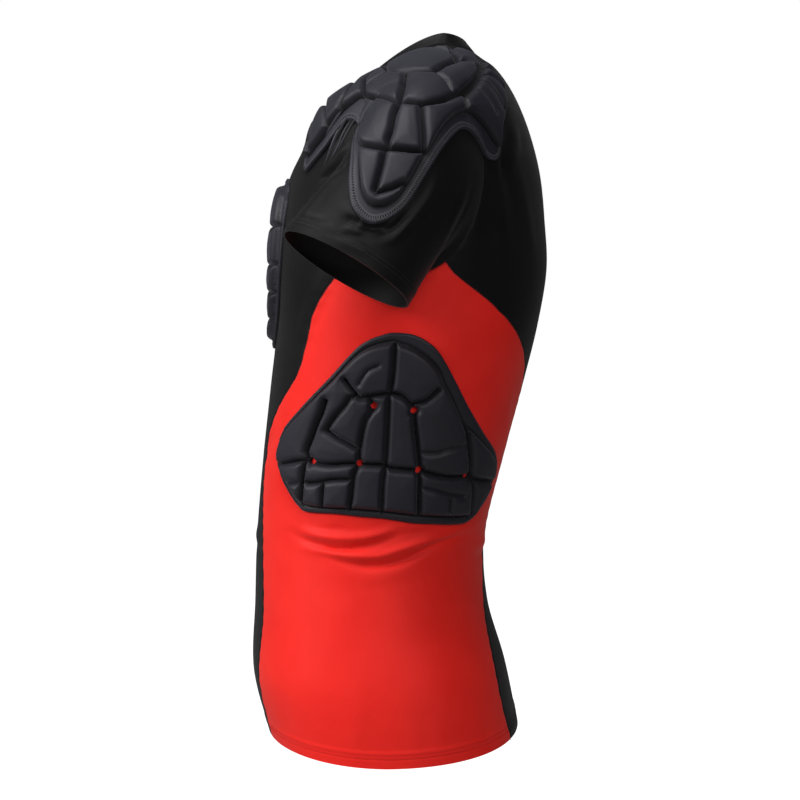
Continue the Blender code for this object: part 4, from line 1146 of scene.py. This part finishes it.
# Threads: how far apart their stitches are in mm, how far they reach across a seam, lean along it or stand
# apart, and how thick they are. Each thread has rings, as the share along it and its rise in radii. The
# hem's threads point away from the body's middle.
stitching = {
    "seamPitch": 1.7,
    "seamReach": 1.6,
    "seamLean": 0.5,
    "hemPitch": 2.4,
    "hemGap": 0.06,
    "thread": 0.3,
    "padThread": 0.45,
    # The dark dashes of painted shade in the rim's stitch holes: their thickness and how far inside the
    # stitches they stand
    "holeShadow": 0.55,
    "holeShadowInset": 1.3,
    "rings": ((0.0, -0.9), (0.5, 0.75), (1.0, -0.9)),
    "seamPoints": {"shoulder": 60, "neck": 240},
    "middleY": -20,
}


def threadPiece(name, runs, radius, finish):
    # One piece of many short threads. Each run has starts, ends and the way out at each stitch.
    starts, ends, ups = (np.concatenate(parts) for parts in zip(*runs))
    way = unit(ends - starts)
    across = unit(np.cross(way, ups))
    rings = []
    for share, rise in stitching["rings"]:
        middle = starts + (ends - starts) * share + ups * radius * rise
        for turn in range(4):
            angle = math.tau * (turn + 0.5) / 4
            rings.append(middle + (across * math.cos(angle) + ups * math.sin(angle)) * radius)
    points = np.stack(rings, 1)
    sides = [(r * 4 + k, r * 4 + (k + 1) % 4, r * 4 + 4 + (k + 1) % 4, r * 4 + 4 + k)
             for r in range(2) for k in range(4)] + [(3, 2, 1, 0), (8, 9, 10, 11)]
    faces = (np.arange(len(starts))[:, None, None] * 12 + np.array(sides)[None]).reshape(-1, 4)
    chart = np.repeat(starts[:, :2], 12, 0)
    piece = makePiece(name, points.reshape(-1, 3), faces.tolist(), chart, finish)


def evenLine(line, ups, pitch, closed):
    # Points and ways out this far apart along a line
    if closed:
        line, ups = closedLine(line), closedLine(ups)
    along = lengthsAlong(line)
    at = np.linspace(0, along[-1], max(2, int(along[-1] / pitch)) + 1)
    return readLine(at, along, line), unit(readLine(at, along, ups))


def crossStitches(line, ups, closed=False):
    # Short threads across a seam, leaning a little along it
    points, ways = evenLine(line, ups, stitching["seamPitch"], closed)
    tangents = unit(np.gradient(points, axis=0))
    sides = unit(np.cross(tangents, ways))
    reach, lean = sides * stitching["seamReach"], tangents * stitching["seamLean"]
    return points - reach - lean, points + reach + lean, ways


def runStitches(line, ups, closed=False):
    # Threads that follow a line, with a small gap between them
    points, ways = evenLine(line, ups, stitching["hemPitch"], closed)
    gap = (points[1:] - points[:-1]) * stitching["hemGap"]
    return points[:-1] + gap, points[1:] - gap, ways[1:]


def lineAcross(grid, distance, last=False):
    # The line across a grid that lies this far from its first row, or from its last
    if last:
        grid = grid[::-1]
    return np.array([readLine(distance, lengthsAlong(line), line) for line in np.moveaxis(grid, 1, 0)])


def outwards(ways, points):
    # The ways turned to point away from the body's middle line
    sign = np.sign(ways[..., 0] * points[..., 0] + ways[..., 1] * points[..., 1])
    return ways * np.where(sign == 0, 1, sign)[..., None]


def bothSides(runs):
    return runs + [tuple(part * mirrorX for part in run) for run in runs]


def bodyThreads():
    side, sleeve = outerGrids["side"], outerGrids["sleeve"]
    normals = outwards(gridNormals(side), side)
    seams = [crossStitches(side[:, column], normals[:, column]) for column in (0, -1)]
    ringOut = unit(gridNormals(sleeve, True)[1] + bodyNormals(*armholeLoop()))
    seams.append(crossStitches(sleeve[0], ringOut, closed=True))
    rows = np.linspace(shoulder, bodySkin["neckRow"], stitching["seamPoints"]["shoulder"])
    ways = bodyNormals(rows, 0 * rows)
    lift = clothLift(rows, 0 * rows) - clothGrid["edgeRoll"]
    seams.append(crossStitches(bodyPoints(rows, 0 * rows) + ways * lift[:, None], ways))
    angles = np.linspace(0, 360, stitching["seamPoints"]["neck"], endpoint=False)
    neck = np.full(len(angles), bodySkin["neckRow"])
    black, red = [crossStitches(bodyPoints(neck, angles), bodyNormals(neck, angles), closed=True)], []
    for row in hemFold["stitchRows"]:
        for name, runs in (("front", black), ("back", black), ("side", red)):
            line = lineAcross(outerGrids[name], row)
            flat = np.stack([line[:, 0], line[:, 1] - stitching["middleY"], 0 * line[:, 0]], -1)
            runs.append(runStitches(line, unit(outwards(flat, line))))
        seams.append(runStitches(lineAcross(sleeve, row, last=True), sleeveWays[-1], closed=True))
    threadPiece("threads_black", black + bothSides(seams), stitching["thread"], "blackThread")
    threadPiece("threads_red", bothSides(red), stitching["thread"], "redThread")


def rimThreads(plan, placeOf):
    # Two crossing zigzags of stitches along a pad's rim, with dashes of painted hole shade set aside, or one
    # plain row
    loop = plan["loop"]
    tangent = unit(np.roll(loop, -1, 0) - np.roll(loop, 1, 0))
    inward = np.stack([-tangent[:, 1], tangent[:, 0]], -1)
    if not inside(loop[:1] + inward[:1] * padForm["rimThick"], loop)[0]:
        inward = -inward
    closed = closedLine(loop)
    along = lengthsAlong(closed)

    def pointsAt(places, offset):
        flat = readLine(places % along[-1], along, closed + closedLine(inward) * offset)
        skin, ways = placeOf(flat)
        return skin + ways * (plan["lift"] + padThickness(plan, flat)[0])[:, None], ways

    if "rimRow" in plan:
        return [runStitches(*pointsAt(along[:-1], plan["rimRow"]), closed=True)]
    reachIn, reachOut, pitch = plan["rimStitches"]
    at = np.linspace(0, along[-1], int(along[-1] / pitch), endpoint=False)
    middle, half = (reachIn + reachOut) / 2, (reachIn - reachOut) / 2 - stitching["holeShadowInset"]
    # Dark dashes across the stitch band, painted shade standing in for the shadowed stitch holes
    between = np.linspace(0, along[-1], 2 * len(at), endpoint=False)
    inner, ways = pointsAt(between, middle + half)
    rimHoleShadows.append((inner, pointsAt(between, middle - half)[0], ways))
    runs = []
    for shift in (0, 0.5):
        inner, ways = pointsAt(at + shift * pitch, reachIn)
        outer = pointsAt(at + (shift + 0.5) * pitch, reachOut)[0]
        runs += [(inner, outer, ways), (outer, np.roll(inner, -1, 0), ways)]
    return runs


# Pinched crests of cloth along the pleats between the shoulder pad's front lobe and its tongue, as half
# width, height, and their line in mm back and up on the middle plane. Their colour is a painted highlight.
pleatCrests = {
    "sink": 0.7,
    "step": 1.6,
    "smoothings": 3,
    "endShare": 0.15,
    "taper": 0.3,
    "missStep": 0.7,
    "section": [(-1.0, 0.0), (-0.62, 0.5), (-0.22, 0.92), (0.22, 0.92), (0.62, 0.5), (1.0, 0.0)],
    "rows": [
        (1.1, 1.2, [(-58, -57), (-65, -67), (-73, -80)]),
        (1.2, 1.4, [(-50, -58), (-57, -70), (-65, -87), (-75, -107)]),
        (1.1, 1.3, [(-47, -61), (-53, -73), (-60, -87), (-69, -103)]),
        (1.0, 1.2, [(-44, -63), (-49, -72), (-55, -82), (-62, -93)]),
    ],
}


def seenFromSide(place):
    # The pad or cloth point behind a place on the middle plane, as the side view shows it, and the way out
    eye = Vector(sideView["eye"])
    look = (Vector((0, *place)) - eye).normalized()
    skin, way, _, depth = shoulderSkin.ray_cast(eye, look)
    if not skin:
        return seenFromSide((place[0], place[1] - pleatCrests["missStep"]))
    skin, out = np.array(skin), np.array(way) * (1 if way.x > 0 else -1)
    found = skin + out * (sideLift(skin, out) + softWaves(skin, "pleats"))
    pad, _, _, padDepth = shoulderPad["top"].ray_cast(eye, look)
    return (np.array(pad) if pad and padDepth < depth else found), out


def pleatPiece():
    points, faces, section = [], [], pleatCrests["section"]
    low, count = pleatCrests["endShare"], len(section)
    for half, height, line in pleatCrests["rows"]:
        seen = [seenFromSide(place) for place in smoothCurve(line, pleatCrests["step"])]
        spots, ways = (np.array(part) for part in zip(*seen))
        for _ in range(pleatCrests["smoothings"]):
            ways[1:-1] = unit(ways[:-2] + ways[1:-1] * 2 + ways[2:])
            spots[1:-1] = (spots[:-2] + spots[1:-1] * 2 + spots[2:]) / 4
        across = unit(np.cross(np.gradient(spots, axis=0), ways))
        share = np.linspace(0, 1, len(spots))
        fade = low + (1 - low) * smoothStep(np.minimum(share, 1 - share) / pleatCrests["taper"])
        start, end = len(points) * count, (len(points) + len(spots) - 1) * count
        for k, spot in enumerate(spots):
            points.append([spot + across[k] * side * half * fade[k]
                           + ways[k] * (rise * height * fade[k] - pleatCrests["sink"] * (rise == 0))
                           for side, rise in section])
        for first in range(start, end, count):
            around = [(first + k, first + (k + 1) % count) for k in range(count)]
            faces += [[a, b, b + count, a + count] for a, b in around]
        faces += [list(range(first, first + count)) for first in (start, end)]
    points = np.array(points).reshape(-1, 3)
    for side, mirror in bothHalves:
        # The crests take the lighter colour of painted highlight
        piece = makePiece("pleat_crests_" + side, points * mirror, faces, points[:, 1:], "pleatHighlight")


pleatPiece()
print("pleats made")
bodyThreads()
rimHoleShadows = []
padRuns = bothSides(rimThreads(shoulderPad, shoulderPlace))
# Dark dashes of black knit along the shoulder pads' rims, painted shade of the shadowed stitch holes
threadPiece("rim_stitch_hole_shadows", bothSides(rimHoleShadows), stitching["holeShadow"], "blackKnit")
threadPiece("threads_shoulder_pads", padRuns, stitching["padThread"], "padThread")
padRuns = bothSides(rimThreads(ribPad, ribPlace)) + rimThreads(chestPad, chestPlace)
threadPiece("threads_rib_and_chest_pads", padRuns, stitching["thread"], "blackThread")
print("threads made")


# The studio: a pale floor, a soft key light from the wearer's front, a fill, a top light and the camera
studio = {
    "floorDrop": 0.30,
    "floorRadius": 40.0,
    "floorSides": 96,
    "floorGrey": (0.3, 0.3, 0.3, 1),
    "floorRough": 0.95,
    "floorGlow": 1.0,
    "key": ((1.0, -2.2, 0.8), 1.2, 63.0),
    "fill": ((2.3, 0.7, 0.8), 1.4, 26.0),
    "top": ((0.8, -0.5, 1.9), 1.2, 42.0),
    "target": Vector((0, 0, -0.3)),
    "ambient": 0.08,
    "backdrop": 1.0,
    "camera": Vector((1.8, -0.00465, -0.186)),
    "cameraTarget": Vector((0, -0.00465, -0.3255)),
    "halfFrame": 0.372,
    "filmWidth": 36.0,
}
white = (1, 1, 1, 1)


def aimed(item, place, target):
    item.location = place
    item.rotation_euler = (target - Vector(place)).to_track_quat("-Z", "Y").to_euler()
    bpy.context.scene.collection.objects.link(item)
    return item


def buildStudio():
    scene = bpy.context.scene
    for name in ("key", "fill", "top"):
        place, size, power = studio[name]
        light = bpy.data.lights.new(name + "Light", "AREA")
        light.shape, light.size, light.energy = "DISK", size, power
        aimed(bpy.data.objects.new(name + "Light", light), place, studio["target"])
    world = bpy.data.worlds.new("studioAir")
    world.use_nodes = True
    scene.world = world
    tree = world.node_tree
    tree.nodes.clear()
    air, seen = (addNode(tree, "ShaderNodeBackground", [("Color", white), ("Strength", studio[name])])
                 for name in ("ambient", "backdrop"))
    path = addNode(tree, "ShaderNodeLightPath")
    mixed = [(0, path.outputs["Is Camera Ray"]), (1, air.outputs[0]), (2, seen.outputs[0])]
    mix = addNode(tree, "ShaderNodeMixShader", mixed)
    addNode(tree, "ShaderNodeOutputWorld", [(0, mix.outputs[0])])
    floorMesh = bpy.data.meshes.new("studioFloor")
    made = bmesh.new()
    bmesh.ops.create_circle(made, cap_ends=True, radius=studio["floorRadius"], segments=studio["floorSides"])
    made.to_mesh(floorMesh)
    made.free()
    paint, tree, shader = emptyMaterial("paleFloor")
    seenBy = addNode(tree, "ShaderNodeLightPath")
    glow = mathNode(tree, "MULTIPLY", seenBy.outputs["Is Camera Ray"], studio["floorGlow"])
    feedNode(tree, shader, [("Base Color", studio["floorGrey"]), ("Roughness", studio["floorRough"]),
                            ("Emission Color", white), ("Emission Strength", glow)])
    floorMesh.materials.append(paint)
    floor = bpy.data.objects.new("studioFloor", floorMesh)
    scene.collection.objects.link(floor)
    floor.location.z = cadBox[0].z - studio["floorDrop"]
    camera = bpy.data.cameras.new("studioCamera")
    way = studio["cameraTarget"] - studio["camera"]
    camera.sensor_width = studio["filmWidth"]
    camera.lens = camera.sensor_width / 2 / (studio["halfFrame"] / abs(way.x))
    holder = bpy.data.objects.new("studioCamera", camera)
    scene.camera = aimed(holder, studio["camera"], studio["cameraTarget"])
    scene.view_settings.view_transform = "Standard"


buildStudio()
print("studio made")
